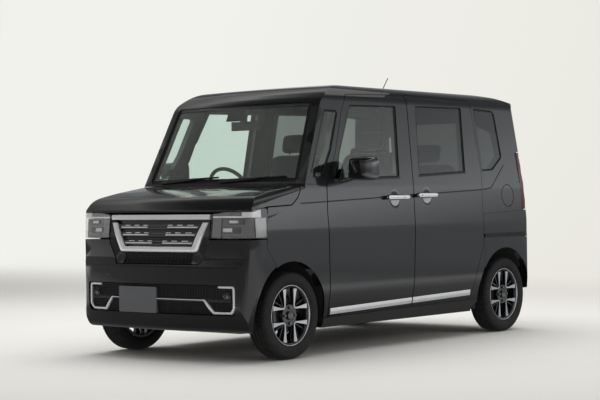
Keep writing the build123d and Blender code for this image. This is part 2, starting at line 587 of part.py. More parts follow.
def make_front_bumper():
    """The nose cover, with the grille's mouth and the lower intake open."""
    edge = [(-1900, 100, 0), (FRONT_AXLE_Y, 100, 0), (FRONT_AXLE_Y, AXLE_Z, 0),
            (BUMPER_EDGE[2][0], BUMPER_EDGE[2][1], 0),
            (BUMPER_EDGE[1][0], BUMPER_EDGE[1][1], 0),
            (HEADLAMP_REAR_Y[0] - FIXED_GAP, HEADLAMP[0][1] - FIXED_GAP, 0),
            (-1640, HEADLAMP[0][1] - FIXED_GAP, 0), (-1900, HEADLAMP[0][1] - FIXED_GAP, 0)]
    cover = layer(OUTER, INNER) & across(ccw(edge), -FAR, FAR)
    socket = cylinder_y(TOW_EYE_RADIUS, -1800, TOW_EYE_DEPTH_Y, TOW_EYE_X, TOW_EYE_Z)
    tray = block(-SILL_INNER_X, SILL_INNER_X, -1560, 0, 0, BUMPER_BEAM_Z)
    return cover - nose_cut(INTAKE) - nose_cut(GRILLE) - arch_cut - well_cut - tray - socket


def make_grille():
    """The dark insert with its three bars, the bright U round it and the bright bar over it."""
    insert = layer(GRILLE_DEPTH, INNER) & nose_cut(GRILLE, RIM_FIT)
    bars = combine([block(-GRILLE_BAR_HALF, GRILLE_BAR_HALF, -2000, -1500, z, z + BAR_HEIGHT)
                    for z in BAR_Z])
    front = insert + (layer(GLASS_IN, GRILLE_DEPTH) & bars)
    outer, inner = mirrored(FRAME_OUTER), mirrored(FRAME_INNER)
    frame = layer(OUTER, GRILLE_DEPTH) & (nose_cut(outer) - nose_cut(inner))
    bar = layer(OUTER, GRILLE_DEPTH) & nose_cut(mirrored(TOP_BAR))
    return front + frame + bar - block(-GRILLE_BAR_HALF, GRILLE_BAR_HALF, -2000, -1500, *GRILLE_SLOT)


def make_intake_grille():
    """The mesh insert of the lower intake, with a bright C at each end."""
    insert = layer(GRILLE_DEPTH, INNER) & nose_cut(INTAKE, FIXED_GAP)
    for z0, z1 in INTAKE_SLOTS:
        insert = insert - block(-INTAKE_SLOT_HALF, INTAKE_SLOT_HALF, -2000, -1000, z0, z1)
    trims = combine([nose_cut([(side * a, b, r) for a, b, r in INTAKE_TRIM]) for _, side in SIDES])
    return insert + (layer(GLASS_OUT, GRILLE_DEPTH) & trims & nose_cut(INTAKE, FIXED_GAP))


def make_headlamp(side):
    region = nose_cut([(side * a, b, r) for a, b, r in HEADLAMP])
    edge = [(-1900, 700, 0), (HEADLAMP_REAR_Y[0], 700, 0), (HEADLAMP_REAR_Y[0], 770, 0),
            (HEADLAMP_REAR_Y[1], 958, 0), (HEADLAMP_REAR_Y[1], 1000, 0), (-1900, 1000, 0)]
    lamp = layer(OUTER, INNER) & region & half(side, edge, HEADLAMP[0][0] - 20)
    return lamp - turned(shrink(BONNET, -PANEL_GAP / 2), BOW_FRONT) - well_cut


def make_tail_lamp(points):
    return layer(OUTER, FLANGE_OUT) & along(shrink(points, FIXED_GAP), TAIL_LAMP_FRONT_Y + FIXED_GAP, 2000)


def make_rear_bumper():
    cover = layer(OUTER, FLANGE_OUT) & across(shrink(bumper_region, FIXED_GAP), -FAR, FAR)
    return cover - block(-FAR, FAR, 0, 1640, 0, SILL_BOTTOM + SKIN + SEAL_GAP) - arch_cut


def make_plate(x, y_face, z, depth):
    """A blank number plate with its bracket, standing on the panel behind it."""
    plate = block(x - PLATE_W / 2, x + PLATE_W / 2, y_face, y_face + depth, z - PLATE_H / 2, z + PLATE_H / 2)
    return fillet(plate.edges().filter_by(Axis.Y), 8)


def make_mirror(side):
    """A door mirror: a rounded housing on a flat arm that stands on the door's skin."""
    x0, x1, y0, y1, z0, z1 = MIRROR
    housing = block(side * x0, side * x1, y0, y1, z0, z1)
    housing = fillet(housing.edges().filter_by(Axis.Y), 42)
    housing = fillet(housing.faces().sort_by(Axis.Y)[0].edges(), 30)
    arm = block(side * 660, side * (x0 + 50), y0 - 40, y0 + 30, z0 - 18, z0 + 8)
    return housing + (arm - forms[OUTER])


def glass(region):
    return layer(GLASS_OUT, GLASS_IN) & region


# ---------------------------------------------------------------- wheels and suspension
def ring_x(points, x, y, z):
    """An (offset along X, radius) outline turned about the axle at x, y, z."""
    face = outline(ccw(points), Plane(origin=(0, 0, 0), x_dir=(1, 0, 0), z_dir=(0, -1, 0)))
    return Pos(x, y, z) * revolve(face, Axis.X, 360)


def cylinder_y(radius, y0, y1, x, z):
    return Pos(x, (y0 + y1) / 2, z) * Rot(90, 0, 0) * Cylinder(radius, abs(y1 - y0))


def make_tyre(side, axle_y):
    half_width, bead = TYRE_WIDTH / 2, RIM_WIDTH / 2 - RIM_WALL - RIM_FIT
    seat, flange = TYRE_SEAT_RADIUS + RIM_FIT, RIM_FLANGE_RADIUS + RIM_FIT
    outboard = [(bead, seat, RIM_CORNER + 1), (bead, flange, 0), (bead + RIM_WALL, flange + 1, 0),
                (half_width, flange + 34, 40), (half_width, TYRE_RADIUS - 30, 30),
                (half_width - 16, TYRE_RADIUS, 14)]
    inboard = [(-across_x, radius, corner) for across_x, radius, corner in reversed(outboard)]
    return ring_x(outboard + inboard, side * WHEEL_X, axle_y, AXLE_Z)


def make_rim(side, axle_y):
    """Barrel, hub disc, eight arms in four pairs, hub cap and four nuts."""
    half_width, seat = RIM_WIDTH / 2, TYRE_SEAT_RADIUS
    outboard = [(half_width, seat - RIM_WALL, 0), (half_width, RIM_FLANGE_RADIUS, 4),
                (half_width - RIM_WALL, RIM_FLANGE_RADIUS, 4), (half_width - RIM_WALL, seat, RIM_CORNER)]
    inboard = [(-across_x, radius, corner) for across_x, radius, corner in reversed(outboard)]
    x, face = side * WHEEL_X, WHEEL_OFFSET + DISC_THICKNESS
    rim = ring_x(outboard + inboard, x, axle_y, AXLE_Z)
    rim = rim + cylinder_x(DISC_RADIUS, x + side * WHEEL_OFFSET, x + side * face, axle_y, AXLE_Z)
    for i in range(SPOKE_COUNT):
        angle = 90 * (i // 2) + (SPOKE_SPREAD if i % 2 else -SPOKE_SPREAD)
        root, reach = DISC_RADIUS - RIM_WALL, seat - RIM_WALL / 2
        arm = block(side * (WHEEL_OFFSET - 4), side * (face - 2), root, reach,
                    -SPOKE_WIDTH / 2, SPOKE_WIDTH / 2)
        rim = rim + Pos(x, axle_y, AXLE_Z) * Rot(angle, 0, 0) * arm
    rim = rim + cylinder_x(HUB_RADIUS, x + side * face, x + side * (face + 8), axle_y, AXLE_Z)
    for i in range(4):
        angle = math.radians(90 * i)
        y, z = STUD_CIRCLE / 2 * math.cos(angle), STUD_CIRCLE / 2 * math.sin(angle)
        rim = rim + cylinder_x(STUD_RADIUS + 3, x + side * face, x + side * (face + 9),
                               axle_y + y, AXLE_Z + z)
    return rim


def make_knuckle(side):
    """Upright with steering axis, hub and brake disc."""
    hub_end = WHEEL_X + WHEEL_OFFSET - SEAT_GAP
    upright = block(side * (KINGPIN_X - 25), side * (KINGPIN_X + 10), FRONT_AXLE_Y - 24, FRONT_AXLE_Y + 24,
                    ARM_TOP_Z + SEAT_GAP, STRUT_FOOT_Z)
    hub = cylinder_x(HUB_BODY_RADIUS, side * (KINGPIN_X - 10), side * hub_end, FRONT_AXLE_Y, AXLE_Z)
    disc = cylinder_x(BRAKE_RADIUS, side * BRAKE_X, side * (BRAKE_X + 12), FRONT_AXLE_Y, AXLE_Z)
    return upright + hub + disc


def make_cross_member():
    """The member under the engine, with both lower arms, fixed to the body."""
    member = block(-RAIL_X, RAIL_X, FRONT_AXLE_Y - 70, FRONT_AXLE_Y + 90,
                   ARM_TOP_Z - 22, BUMPER_BEAM_Z - 40)
    member = member - block(-RAIL_X + 60, RAIL_X - 60, FRONT_AXLE_Y - 80, FRONT_AXLE_Y + 100,
                            ARM_TOP_Z + 40, 900)
    arms = block(-KINGPIN_X, KINGPIN_X, FRONT_AXLE_Y - 22, FRONT_AXLE_Y + 22, ARM_TOP_Z - 22, ARM_TOP_Z)
    return member + arms


def make_strut(side):
    """Damper, spring and tower, leaning inboard from the knuckle to the wheel house, fixed to the body."""
    inner_x = WELL_INNER_X - WELL_GAP
    lean = math.degrees(math.atan2(side * (STRUT_TOP_X - STRUT_FOOT_X), STRUT_TOP_Z - STRUT_FOOT_Z))
    rod = Pos(side * STRUT_FOOT_X, FRONT_AXLE_Y, STRUT_FOOT_Z) * Rot(0, lean, 0) * (
        Pos(0, 0, 170) * Cylinder(STRUT_RADIUS, 340) + Pos(0, 0, 185) * Cylinder(SPRING_RADIUS, 80))
    tower = block(side * inner_x, side * (STRUT_TOP_X + 20), FRONT_AXLE_Y - 40, FRONT_AXLE_Y + 40, 560, 900)
    upper = (rod & block(-FAR, FAR, -2000, 0, STRUT_FOOT_Z + SEAT_GAP, 900)) + tower
    return upper & cylinder_x(FRONT_ARCH_RADIUS + WELL_GAP, side * inner_x, side * FAR, FRONT_AXLE_Y, AXLE_Z)


def make_rear_axle():
    """Beam, hubs with drums, trailing arms and springs, fixed to the body."""
    hub_end = WHEEL_X + WHEEL_OFFSET - SEAT_GAP
    pieces = [cylinder_x(BEAM_RADIUS, -hub_end + 60, hub_end - 60, REAR_AXLE_Y, AXLE_Z)]
    for _, side in SIDES:
        pieces.append(cylinder_x(HUB_BODY_RADIUS, side * (hub_end - 70), side * hub_end,
                                 REAR_AXLE_Y, AXLE_Z))
        pieces.append(cylinder_x(BRAKE_RADIUS, side * (BRAKE_X - 30), side * (BRAKE_X + 12),
                                 REAR_AXLE_Y, AXLE_Z))
        pieces.append(block(side * 280, side * 340, KICK_Y - 60, REAR_AXLE_Y, AXLE_Z - 20, AXLE_Z + 20)
                      - block(-FAR, FAR, 0, KICK_Y + SHEET, FLOOR_BOTTOM, FAR))
        pieces.append(block(side * 280, side * 340, KICK_Y - 60, KICK_Y + 60,
                            FLOOR_BOTTOM - 30, FLOOR_BOTTOM))
        pieces.append(block(side * 280, side * 340, KICK_Y + SHEET, KICK_Y + 60, FLOOR_BOTTOM - 30, AXLE_Z))
        pieces.append(Pos(side * 310, REAR_AXLE_Y, (AXLE_Z + LOAD_FLOOR_Z - SHEET) / 2) * Cylinder(
            SPRING_RADIUS - 6, LOAD_FLOOR_Z - SHEET - AXLE_Z))
    return combine(pieces)


# ---------------------------------------------------------------- cabin
def make_steering_wheel():
    """Rim, hub and three spokes, in a plane square to the column."""
    rim = Torus(STEERING_RADIUS, 14)
    hub = Pos(0, 0, -14) * Cylinder(60, 40)
    spokes = [Rot(0, 0, angle) * Pos(STEERING_RADIUS / 2, 0, -6) * Box(STEERING_RADIUS, 34, 12)
              for angle in (0, 180, 270)]
    return steering_place * combine([rim, hub] + spokes)


def make_dashboard():
    """A full-width dash with the steering column, standing on the firewall."""
    front = FIREWALL_Y + SHEET
    section = [(front, 720, 0), (-830, 720, 40), (-770, 800, 60),
               (-730, 960, 40), (-760, 1040, 60), (front, 1075, 0)]
    dash = across(ccw(section), -DASH_HALF, DASH_HALF)
    column = steering_place * Pos(0, 0, -34 - SEAT_GAP - 130) * Cylinder(30, 260)
    return (dash + column) & forms[INNER]


def make_seat(x0, x1, y_front, y_back, base_z, cushion_z, top_z, heads):
    """Base, cushion, leaning backrest and headrests, all in one."""
    cushion = across([(y_front, cushion_z - 130, 40), (y_back, cushion_z - 130, 40),
                      (y_back, cushion_z - 20, 30), (y_front, cushion_z, 50)], x0, x1)
    lean = SEAT_LEAN
    back = across([(y_back - 110, cushion_z - 60, 30), (y_back + 20, cushion_z - 60, 30),
                   (y_back + 20 + lean, top_z, 40), (y_back - 70 + lean, top_z, 40)], x0, x1)
    base = block(x0 + 40, x1 - 40, y_front + 60, y_back - 20, base_z, cushion_z - 100)
    head_top = top_z + HEADREST_HEIGHT
    head = [(y_back - 50 + lean, top_z - 10, 0), (y_back - 10 + lean, top_z - 10, 0),
            (y_back + lean, head_top, 30), (y_back - 80 + lean, head_top, 30),
            (y_back - 90 + lean, top_z + 40, 30)]
    rests = [across(head, x - HEADREST_HALF, x + HEADREST_HALF) for x in heads]
    return combine([cushion, back, base] + rests)


def make_engine():
    """One closed block for engine and gearbox, hung between the rails."""
    body = block(-ENGINE_HALF_WIDTH, ENGINE_HALF_WIDTH, ENGINE_FRONT_Y, ENGINE_REAR_Y,
                 ENGINE_BOTTOM_Z, ENGINE_TOP_Z)
    mounts = block(-(RAIL_X - 20), RAIL_X - 20, -1420, -1360, BUMPER_BEAM_Z - 30, BUMPER_BEAM_Z + 30)
    return body + mounts


def make_exhaust():
    """Front pipe, silencer and tail pipe, hung from the floor."""
    x, z = EXHAUST_X, EXHAUST_Z
    pipe = cylinder_y(PIPE_RADIUS, ENGINE_REAR_Y, 1560, x, z)
    above = block(-FAR, FAR, 0, 2000, z - PIPE_RADIUS, 900)
    box = Pos(x, 1490, z) * Rot(90, 0, 0) * Cylinder(75, 180) & above
    hangers = [block(x - 8, x + 8, y, y + 20, z, FLOOR_BOTTOM) for y in (-700, 300)]
    hangers.append(block(x - 8, x + 8, 1480, 1500, z, LOAD_FLOOR_Z - SHEET))
    front = block(x - 20, x + 20, ENGINE_REAR_Y - 40, ENGINE_REAR_Y, z - PIPE_RADIUS, ENGINE_BOTTOM_Z)
    return combine([pipe, box, front] + hangers)


# ---------------------------------------------------------------- write every node
save("body_shell", make_body_shell())
save("floor_pan", make_floor_pan())
save("cowl", make_cowl())
save("front_bumper", make_front_bumper())
save("rear_bumper", make_rear_bumper())
save("bonnet", make_bonnet())
save("tailgate", make_tailgate())
save("fuel_lid", layer(OUTER, SKIN_IN) & cylinder_x(FUEL_LID_RADIUS - FUEL_LID_GAP, 300, FAR, fuel_y, fuel_z))
save("grille", make_grille())
save("intake_grille", make_intake_grille())
save("number_plate_front", make_plate(PLATE_X, PLATE_Y, PLATE_Z, PLATE_DEPTH) - forms[GRILLE_DEPTH])
save("number_plate_rear", make_plate(0, REAR_PLATE_Y - 30, REAR_PLATE_Z, 30) - forms[OUTER])
save("windscreen", glass(along(shrink(mirrored(WINDSCREEN), RIM_FIT), -1500, -640)))
save("tailgate_glass", glass(along(shrink(mirrored(TAILGATE_WINDOW), RIM_FIT), 1540, 2000)))
for name, side in SIDES:
    front_handle = handle(side, *FRONT_HANDLE)
    rear_handle = handle(side, *SLIDING_HANDLE)
    front_door = make_door(FRONT_DOOR, FRONT_DOOR_WINDOW, side, SKIN_IN, DISH_AT[0])
    sliding_door = make_door(SLIDING_DOOR, SLIDING_DOOR_WINDOW, side, FLANGE_OUT, DISH_AT[1])
    save(f"front_door_{name}", front_door + front_handle)
    save(f"sliding_door_{name}", sliding_door + rear_handle)
    save(f"front_door_glass_{name}", glass(half(side, shrink(FRONT_DOOR_WINDOW, RIM_FIT))))
    save(f"sliding_door_glass_{name}", glass(half(side, shrink(SLIDING_DOOR_WINDOW, RIM_FIT))))
    save(f"front_quarter_glass_{name}", glass(half(side, shrink(FRONT_QUARTER_WINDOW, RIM_FIT))))
    save(f"rear_quarter_glass_{name}", glass(half(side, shrink(REAR_QUARTER_WINDOW, RIM_FIT))))
    save(f"front_wing_{name}", make_front_wing(side))
    save(f"headlamp_{name}", make_headlamp(side))
    save(f"tail_lamp_{name}", make_tail_lamp(tail_lamp_sides[0 if side > 0 else 1]))
    save(f"mirror_{name}", make_mirror(side))
    save(f"knuckle_{name}", make_knuckle(side))
    save(f"strut_{name}", make_strut(side))
    for place, axle_y, _ in AXLES:
        save(f"tyre_{place}_{name}", make_tyre(side, axle_y))
        save(f"rim_{place}_{name}", make_rim(side, axle_y))
save("cross_member", make_cross_member())
save("rear_axle", make_rear_axle())
save("steering_wheel", make_steering_wheel())
save("dashboard", make_dashboard())
seat_x = (SEAT_HALF + SEAT_SPLIT) / 2
save("front_seats", combine([
    make_seat(-SEAT_HALF, -SEAT_SPLIT, *FRONT_SEAT, [-seat_x]),
    make_seat(SEAT_SPLIT, SEAT_HALF, *FRONT_SEAT, [seat_x]),
    block(-SEAT_SPLIT - 45, SEAT_SPLIT + 45, FRONT_SEAT[0] + 70, FRONT_SEAT[1] - 40,
          FLOOR_TOP, FLOOR_TOP + 120)]))
save("rear_seat", make_seat(-SEAT_HALF + 20, SEAT_HALF - 20, *REAR_SEAT, [-300, 300]))
save("engine", make_engine())
save("exhaust", make_exhaust())
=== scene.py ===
# A tall kei car, dressed for a studio picture on the frame of its CAD model.
# Metres, +Z up, nose towards -Y, the car's own left side towards +X.
import json
import math
import bmesh
import bpy
import numpy as np
from mathutils import Matrix

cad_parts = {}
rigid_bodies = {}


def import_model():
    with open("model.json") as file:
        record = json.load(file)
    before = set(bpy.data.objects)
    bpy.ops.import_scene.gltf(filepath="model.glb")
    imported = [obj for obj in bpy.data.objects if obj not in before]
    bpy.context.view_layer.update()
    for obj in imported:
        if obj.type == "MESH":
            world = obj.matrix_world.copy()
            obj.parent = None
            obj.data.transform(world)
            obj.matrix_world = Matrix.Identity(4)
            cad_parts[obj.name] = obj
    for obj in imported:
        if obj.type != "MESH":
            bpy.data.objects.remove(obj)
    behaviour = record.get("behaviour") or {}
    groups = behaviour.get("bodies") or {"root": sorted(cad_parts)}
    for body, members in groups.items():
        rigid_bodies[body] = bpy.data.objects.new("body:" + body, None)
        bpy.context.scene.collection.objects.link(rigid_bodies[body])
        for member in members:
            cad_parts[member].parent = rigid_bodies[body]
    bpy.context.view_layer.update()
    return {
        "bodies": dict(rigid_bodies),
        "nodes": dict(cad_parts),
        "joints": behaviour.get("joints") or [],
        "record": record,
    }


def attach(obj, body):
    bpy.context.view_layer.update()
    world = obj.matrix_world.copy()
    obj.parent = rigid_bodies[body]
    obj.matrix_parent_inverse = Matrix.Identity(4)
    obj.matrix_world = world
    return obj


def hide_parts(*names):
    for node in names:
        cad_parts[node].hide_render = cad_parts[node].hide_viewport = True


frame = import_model()
nodes = frame["nodes"]
bodyOf = {node: body for body, members in frame["record"]["behaviour"]["bodies"].items() for node in members}
sides = {1: "left", -1: "right"}
print("frame loaded:", len(nodes), "nodes")


# a new object in the scene
def newObject(name, data):
    obj = bpy.data.objects.new(name, data)
    bpy.context.scene.collection.objects.link(obj)
    return obj


# a new smooth mesh from arrays of points and faces, in one material
def meshObject(name, points, faces, material):
    mesh = bpy.data.meshes.new(name)
    mesh.from_pydata(points.reshape(-1, 3).tolist(), [], faces)
    mesh.polygons.foreach_set("use_smooth", [True] * len(mesh.polygons))
    mesh.materials.append(material)
    return newObject(name, mesh)


# a new piece that rides on a body, in a finish
def addMesh(name, points, faces, body, look, slot=None):
    obj = meshObject(name, points, faces, finish[look])
    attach(obj, body)
    return obj


# coordinates given as arrays or numbers, spread over one shape and joined as points
def stacked(*parts):
    return np.stack(np.broadcast_arrays(*parts), -1).astype(float)


# evenly spaced angles of a full circle
def circle(count):
    return np.arange(count) * 2 * math.pi / count


# keeps the sign and raises the size to a power, which squares off a circle when the power is under one
def softSign(value, power):
    return np.sign(value) * np.abs(value) ** power


# quads over a grid of rows by columns, wrapped where it closes: each is i, i + row, i + row + 1, i + 1
def gridFaces(rows, columns, closedRows=False, closedColumns=False, offset=0):
    r = np.arange(rows if closedRows else rows - 1)
    c = np.arange(columns if closedColumns else columns - 1)
    row, column = np.meshgrid(r, c, indexing="ij")
    nextRow, nextColumn = (row + 1) % rows, (column + 1) % columns
    quads = np.stack([row * columns + column, nextRow * columns + column,
                      nextRow * columns + nextColumn, row * columns + nextColumn], -1)
    return (quads.reshape(-1, 4) + offset).tolist()


# several (points, faces) pairs as one, each one's indices raised by the points before it
def joinParts(parts):
    points, faces, offset = [], [], 0
    for p, f in parts:
        points.append(p.reshape(-1, 3))
        faces += [[i + offset for i in face] for face in f]
        offset += len(points[-1])
    return np.concatenate(points), faces


# a grid of points with its faces
def gridPart(points, closedRows=False, closedColumns=False):
    return points.reshape(-1, 3), gridFaces(*points.shape[:2], closedRows, closedColumns)


# a tube of closed sections with a flat face over each end, the first one's corners turned or not
def cappedTube(points, turned=False):
    fan = list(range(points.shape[1]))
    return [gridPart(points, closedColumns=True), (points[0], [fan[::-1] if turned else fan]), (points[-1], [fan])]


# marks the edges that bend by more than an angle as sharp
def markSharp(bm, degrees):
    for edge in bm.edges:
        edge.smooth = len(edge.link_faces) == 2 and edge.calc_face_angle(0.0) < math.radians(degrees)


# sharpens a piece's edges, and turns a closed piece's faces outward
def sharpen(obj, degrees):
    bm = bmesh.new()
    bm.from_mesh(obj.data)
    if all(len(edge.link_faces) == 2 for edge in bm.edges):
        bmesh.ops.recalc_face_normals(bm, faces=bm.faces)
    markSharp(bm, degrees)
    bm.to_mesh(obj.data)
    bm.free()


# the pieces that stand for a CAD node, or ride with it: rows of name, parts, finish and, where it isn't the
# finish's own, slot
def dress(node, rows, standsFor=True, angle=36.0):
    for name, parts, *look in rows:
        obj = addMesh(f"{node}_{name}", *joinParts(parts), bodyOf[node], *look)
        if standsFor:
            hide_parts(node)
        sharpen(obj, angle)


# a merged, smooth copy of a CAD node's surface that stands for it; edges that bend past the limit stay sharp
def skinOf(node, look):
    limit = dict(join=0.00002, collapse=0.00001, bend=32.0)
    mesh = nodes[node].data.copy()
    obj = newObject(f"{node}_skin", mesh)
    bm = bmesh.new()
    bm.from_mesh(mesh)
    bmesh.ops.remove_doubles(bm, verts=bm.verts, dist=limit["join"])
    bmesh.ops.dissolve_degenerate(bm, edges=bm.edges, dist=limit["collapse"])
    for face in bm.faces:
        face.smooth = True
    markSharp(bm, limit["bend"])
    bm.to_mesh(mesh)
    bm.free()
    if "custom_normal" in mesh.attributes:
        mesh.attributes.remove(mesh.attributes["custom_normal"])
    mesh.materials.clear()
    mesh.materials.append(finish[look])
    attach(obj, bodyOf[node])
    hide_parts(node)
    return obj


# the body's form, in metres: rows of two coordinates and the radius that rounds the corner
bodyLines = dict(
    section=[(0.690, 0.136, 0), (0.7375, 0.42, 0.5), (0.7375, 0.8, 0.7), (0.716, 1.08, 0.9),
             (0.643, 1.68, 0.09), (0.575, 1.766, 0.16), (0.25, 1.794, 1.5), (0.0, 1.7945, 0)],
    plan=[(0.0, -1.7975, 0), (0.4, -1.7175, 0), (0.7395, -1.634, 0.15), (0.7395, 1.672, 0.085), (0.4, 1.7175, 0)],
    nose=[(-0.6, 1.178, 0), (-1.15, 1.098, 0.4), (-1.4, 1.062, 0.9), (-1.59, 1.022, 0.15),
          (-1.6555, 0.94, 0.06), (-1.6755, 0.79, 0.3), (-1.6695, 0.64, 0.03), (-1.6975, 0.592, 0.04),
          (-1.6975, 0.33, 0.16), (-1.6475, 0.186, 0.06), (-1.64, 0.17, 0)],
    cabin=[(0.2, 1.7901, 0), (-0.33, 1.79, 2.6), (-0.7, 1.748, 0.5), (-0.852, 1.655, 0.16), (-1.112, 1.108, 0),
           (-1.172, 0.776, 0)],
    tail=[(1.6275, 0.176, 0.05), (1.6975, 0.33, 0.12), (1.6975, 0.64, 0.04), (1.6555, 0.735, 0.03),
          (1.6475, 1.09, 0.9), (1.5895, 1.668, 0.03), (1.6095, 1.722, 0.018), (1.45, 1.752, 0.9),
          (0.9, 1.79, 3.0), (-0.2, 1.7901, 0)])
bow, tailBow, noseTop = 2.4, 8.0, 1.17


# an open line of corners, each rounded by the arc that touches both of its sides
def roundedLine(corners, steps=10):
    points = [corners[0][:2]]
    for before, corner, after in zip(corners, corners[1:], corners[2:]):
        middle = np.array(corner[:2])
        ways = [np.array(other[:2]) - middle for other in (before, after)]
        lengths = [np.linalg.norm(way) for way in ways]
        ways = [way / length for way, length in zip(ways, lengths)]
        half = math.acos(max(-1.0, min(1.0, float(-ways[0] @ ways[1])))) / 2
        cut = min(corner[2] * math.tan(half), *(0.48 * length for length in lengths))
        if cut < 1e-5:
            points.append(corner[:2])
            continue
        t = np.linspace(0.0, 1.0, steps)[:, None]
        w0, w1, w2 = (1 - t) ** 2, 2 * t * (1 - t) * math.cos(half), t ** 2
        arc = w0 * (middle + ways[0] * cut) + w1 * middle + w2 * (middle + ways[1] * cut)
        points += (arc / (w0 + w1 + w2)).tolist()
    points.append(corners[-1][:2])
    return np.array(points)


rounded = {name: roundedLine(line) for name, line in bodyLines.items()}


# reads a line's first coordinate at values of its second one
def lineAt(line, value):
    line = line[np.argsort(line[:, 1], kind="stable")]
    return np.interp(value, line[:, 1], line[:, 0])


# how deep a point lies under the body's skin: the least of its distances to flank, plan, nose or cabin, and tail
def bodyDepth(p):
    x, y, z = np.abs(p[..., 0]), p[..., 1], p[..., 2]
    flank = lineAt(rounded["section"], z) - x
    plan = lineAt(rounded["plan"][1:], y) - x
    turn = np.hypot(x, y - bow)
    nose = np.where(z < noseTop, bow - lineAt(rounded["nose"], z) - turn, -1.0)
    cabin = bow - lineAt(rounded["cabin"], z) - turn
    tail = lineAt(rounded["tail"], z) + tailBow - np.hypot(x, y + tailBow)
    return np.minimum.reduce([flank, plan, np.maximum(nose, cabin), tail])


# points where rays from inside leave the form inset by depth, found by halving the reach 24 times
def castOut(origin, direction, depth):
    origin, direction = np.broadcast_arrays(np.asarray(origin, float), np.asarray(direction, float))
    low, high = np.zeros(origin.shape[:-1]), np.full(origin.shape[:-1], 2.0)
    for _ in range(24):
        middle = (low + high) / 2
        inside = bodyDepth(origin + direction * middle[..., None]) > depth
        low, high = np.where(inside, middle, low), np.where(inside, high, middle)
    return origin + direction * low[..., None]


# a place on the nose: a ray straight ahead at (x, z), stopped at a depth below the skin
def onNose(x, z, depth=0.0):
    return castOut(stacked(x, -1.25, z), (0.0, -1.0, 0.0), depth)


# a place on a flank: a ray straight out to one side at (y, z)
def onFlank(y, z, depth=0.0, side=1):
    return castOut(stacked(side * 0.3, y, z), (float(side), 0.0, 0.0), depth)


# a place on the tail: a ray straight back at (x, z)
def onTail(x, z, depth=0.0):
    return castOut(stacked(x, 1.2, z), (0.0, 1.0, 0.0), depth)


# a place on the windscreen: a ray ahead from inside the cabin at (x, z)
def onScreen(x, z, depth=0.0):
    return castOut(stacked(x, -0.45, z), (0.0, -1.0, 0.0), depth)


# a place round a corner: a ray from the corner's centre, turned from straight ahead, or straight back where
# face is 1, towards the flank by an angle in degrees
def onCorner(angle, z, depth=0.0, side=1, centre=(0.47, -1.42), face=-1):
    angle = np.radians(angle)
    way = stacked(side * np.sin(angle), face * np.cos(angle), 0 * z)
    return castOut(stacked(side * centre[0], centre[1], z + 0 * angle), way, depth)


# the same round a rear corner, about the tail lamp's centre
def onTailCorner(angle, z, depth=0.0, side=1):
    return onCorner(angle, z, depth, side, (0.60, 1.47), 1)


# evenly spaced points along a line of corners
def spaced(line, count):
    line = np.asarray(line, float)
    run = np.concatenate([[0.0], np.cumsum(np.linalg.norm(np.diff(line, axis=0), axis=1))])
    s = np.linspace(0.0, run[-1], count)
    return np.stack([np.interp(s, run, line[:, k]) for k in range(line.shape[1])], -1)


# a level line at one height between two places
def level(a, b, height, count=40):
    return stacked(np.linspace(a, b, count), height)


# the left-hand normals of a line in its own plane
def normals(line):
    d = np.gradient(line, axis=0)
    d /= np.linalg.norm(d, axis=1, keepdims=True)
    return np.stack([-d[:, 1], d[:, 0]], -1)


# a flat strip round a line: one row of places for each point, at shares of the half width across
def across(line, halfWidth, shares):
    width = np.broadcast_to(np.asarray(halfWidth, float), len(line))
    return line[:, None] + normals(line)[:, None] * (width[:, None] * shares[None])[..., None]


# rows of flat places laid on the body at each column's depth; both ends go down to the deepest column
def laid(place, flat, depth, **options):
    depth = np.broadcast_to(depth, (len(flat) + 2, len(depth))).copy()
    depth[[0, -1]] = depth[1].max()
    flat = np.concatenate([flat[:1], flat, flat[-1:]])
    return gridPart(place(flat[..., 0], flat[..., 1], depth, **options))


# a strip laid on the body: a line in the draper's two coordinates, a half width and rows of (across, depth)
def stripOn(place, line, halfWidth, section, **options):
    section = np.asarray(section, float)
    return laid(place, across(np.asarray(line, float), halfWidth, section[:, 0]), section[:, 1], **options)


# a band between two lines of corners laid on the body: section rows give the share across and the depth
def bandOn(place, outer, inner, section, count=90, **options):
    outer, inner = spaced(roundedLine(outer), count), spaced(roundedLine(inner), count)
    section = np.asarray(section, float)
    flat = inner[:, None] + (outer - inner)[:, None] * section[None, :, 0, None]
    return laid(place, flat, section[:, 1], **options)


# a sheet of points on the body over a grid of its two coordinates
def sheetOn(place, first, second, depth, **options):
    return gridPart(place(*np.meshgrid(first, second, indexing="ij"), depth, **options))


# section rows of a raised, gently crowned strip: top is its depth under the skin, foot where its sides end
def crowned(top, foot, crown=0.002, steps=7):
    share = np.linspace(-1.0, 1.0, steps)
    rows = np.stack([share * 0.97, top + crown * share ** 2], -1)
    return np.concatenate([[(-1.0, foot), (-1.0, top + crown * 1.3)], rows, [(1.0, top + crown * 1.3), (1.0, foot)]])


# a profile of (offset outboard, radius) turned about an axle that runs along X
def turnedPart(profile, centre, side, around=96):
    offset, radius = np.asarray(profile, float).T
    angle = circle(around)[:, None]
    points = stacked(side * offset, np.cos(angle) * radius, np.sin(angle) * radius)
    return gridPart(points + np.asarray(centre), closedRows=True)


# a closed box between two corners
def boxPart(low, high):
    low, high = np.minimum(low, high), np.maximum(low, high)
    corner = np.array([(i, j, k) for i in (0, 1) for j in (0, 1) for k in (0, 1)], float)
    faces = [[0, 1, 3, 2], [4, 6, 7, 5], [0, 4, 5, 1], [2, 3, 7, 6], [0, 2, 6, 4], [1, 5, 7, 3]]
    return low + corner * (high - low), faces


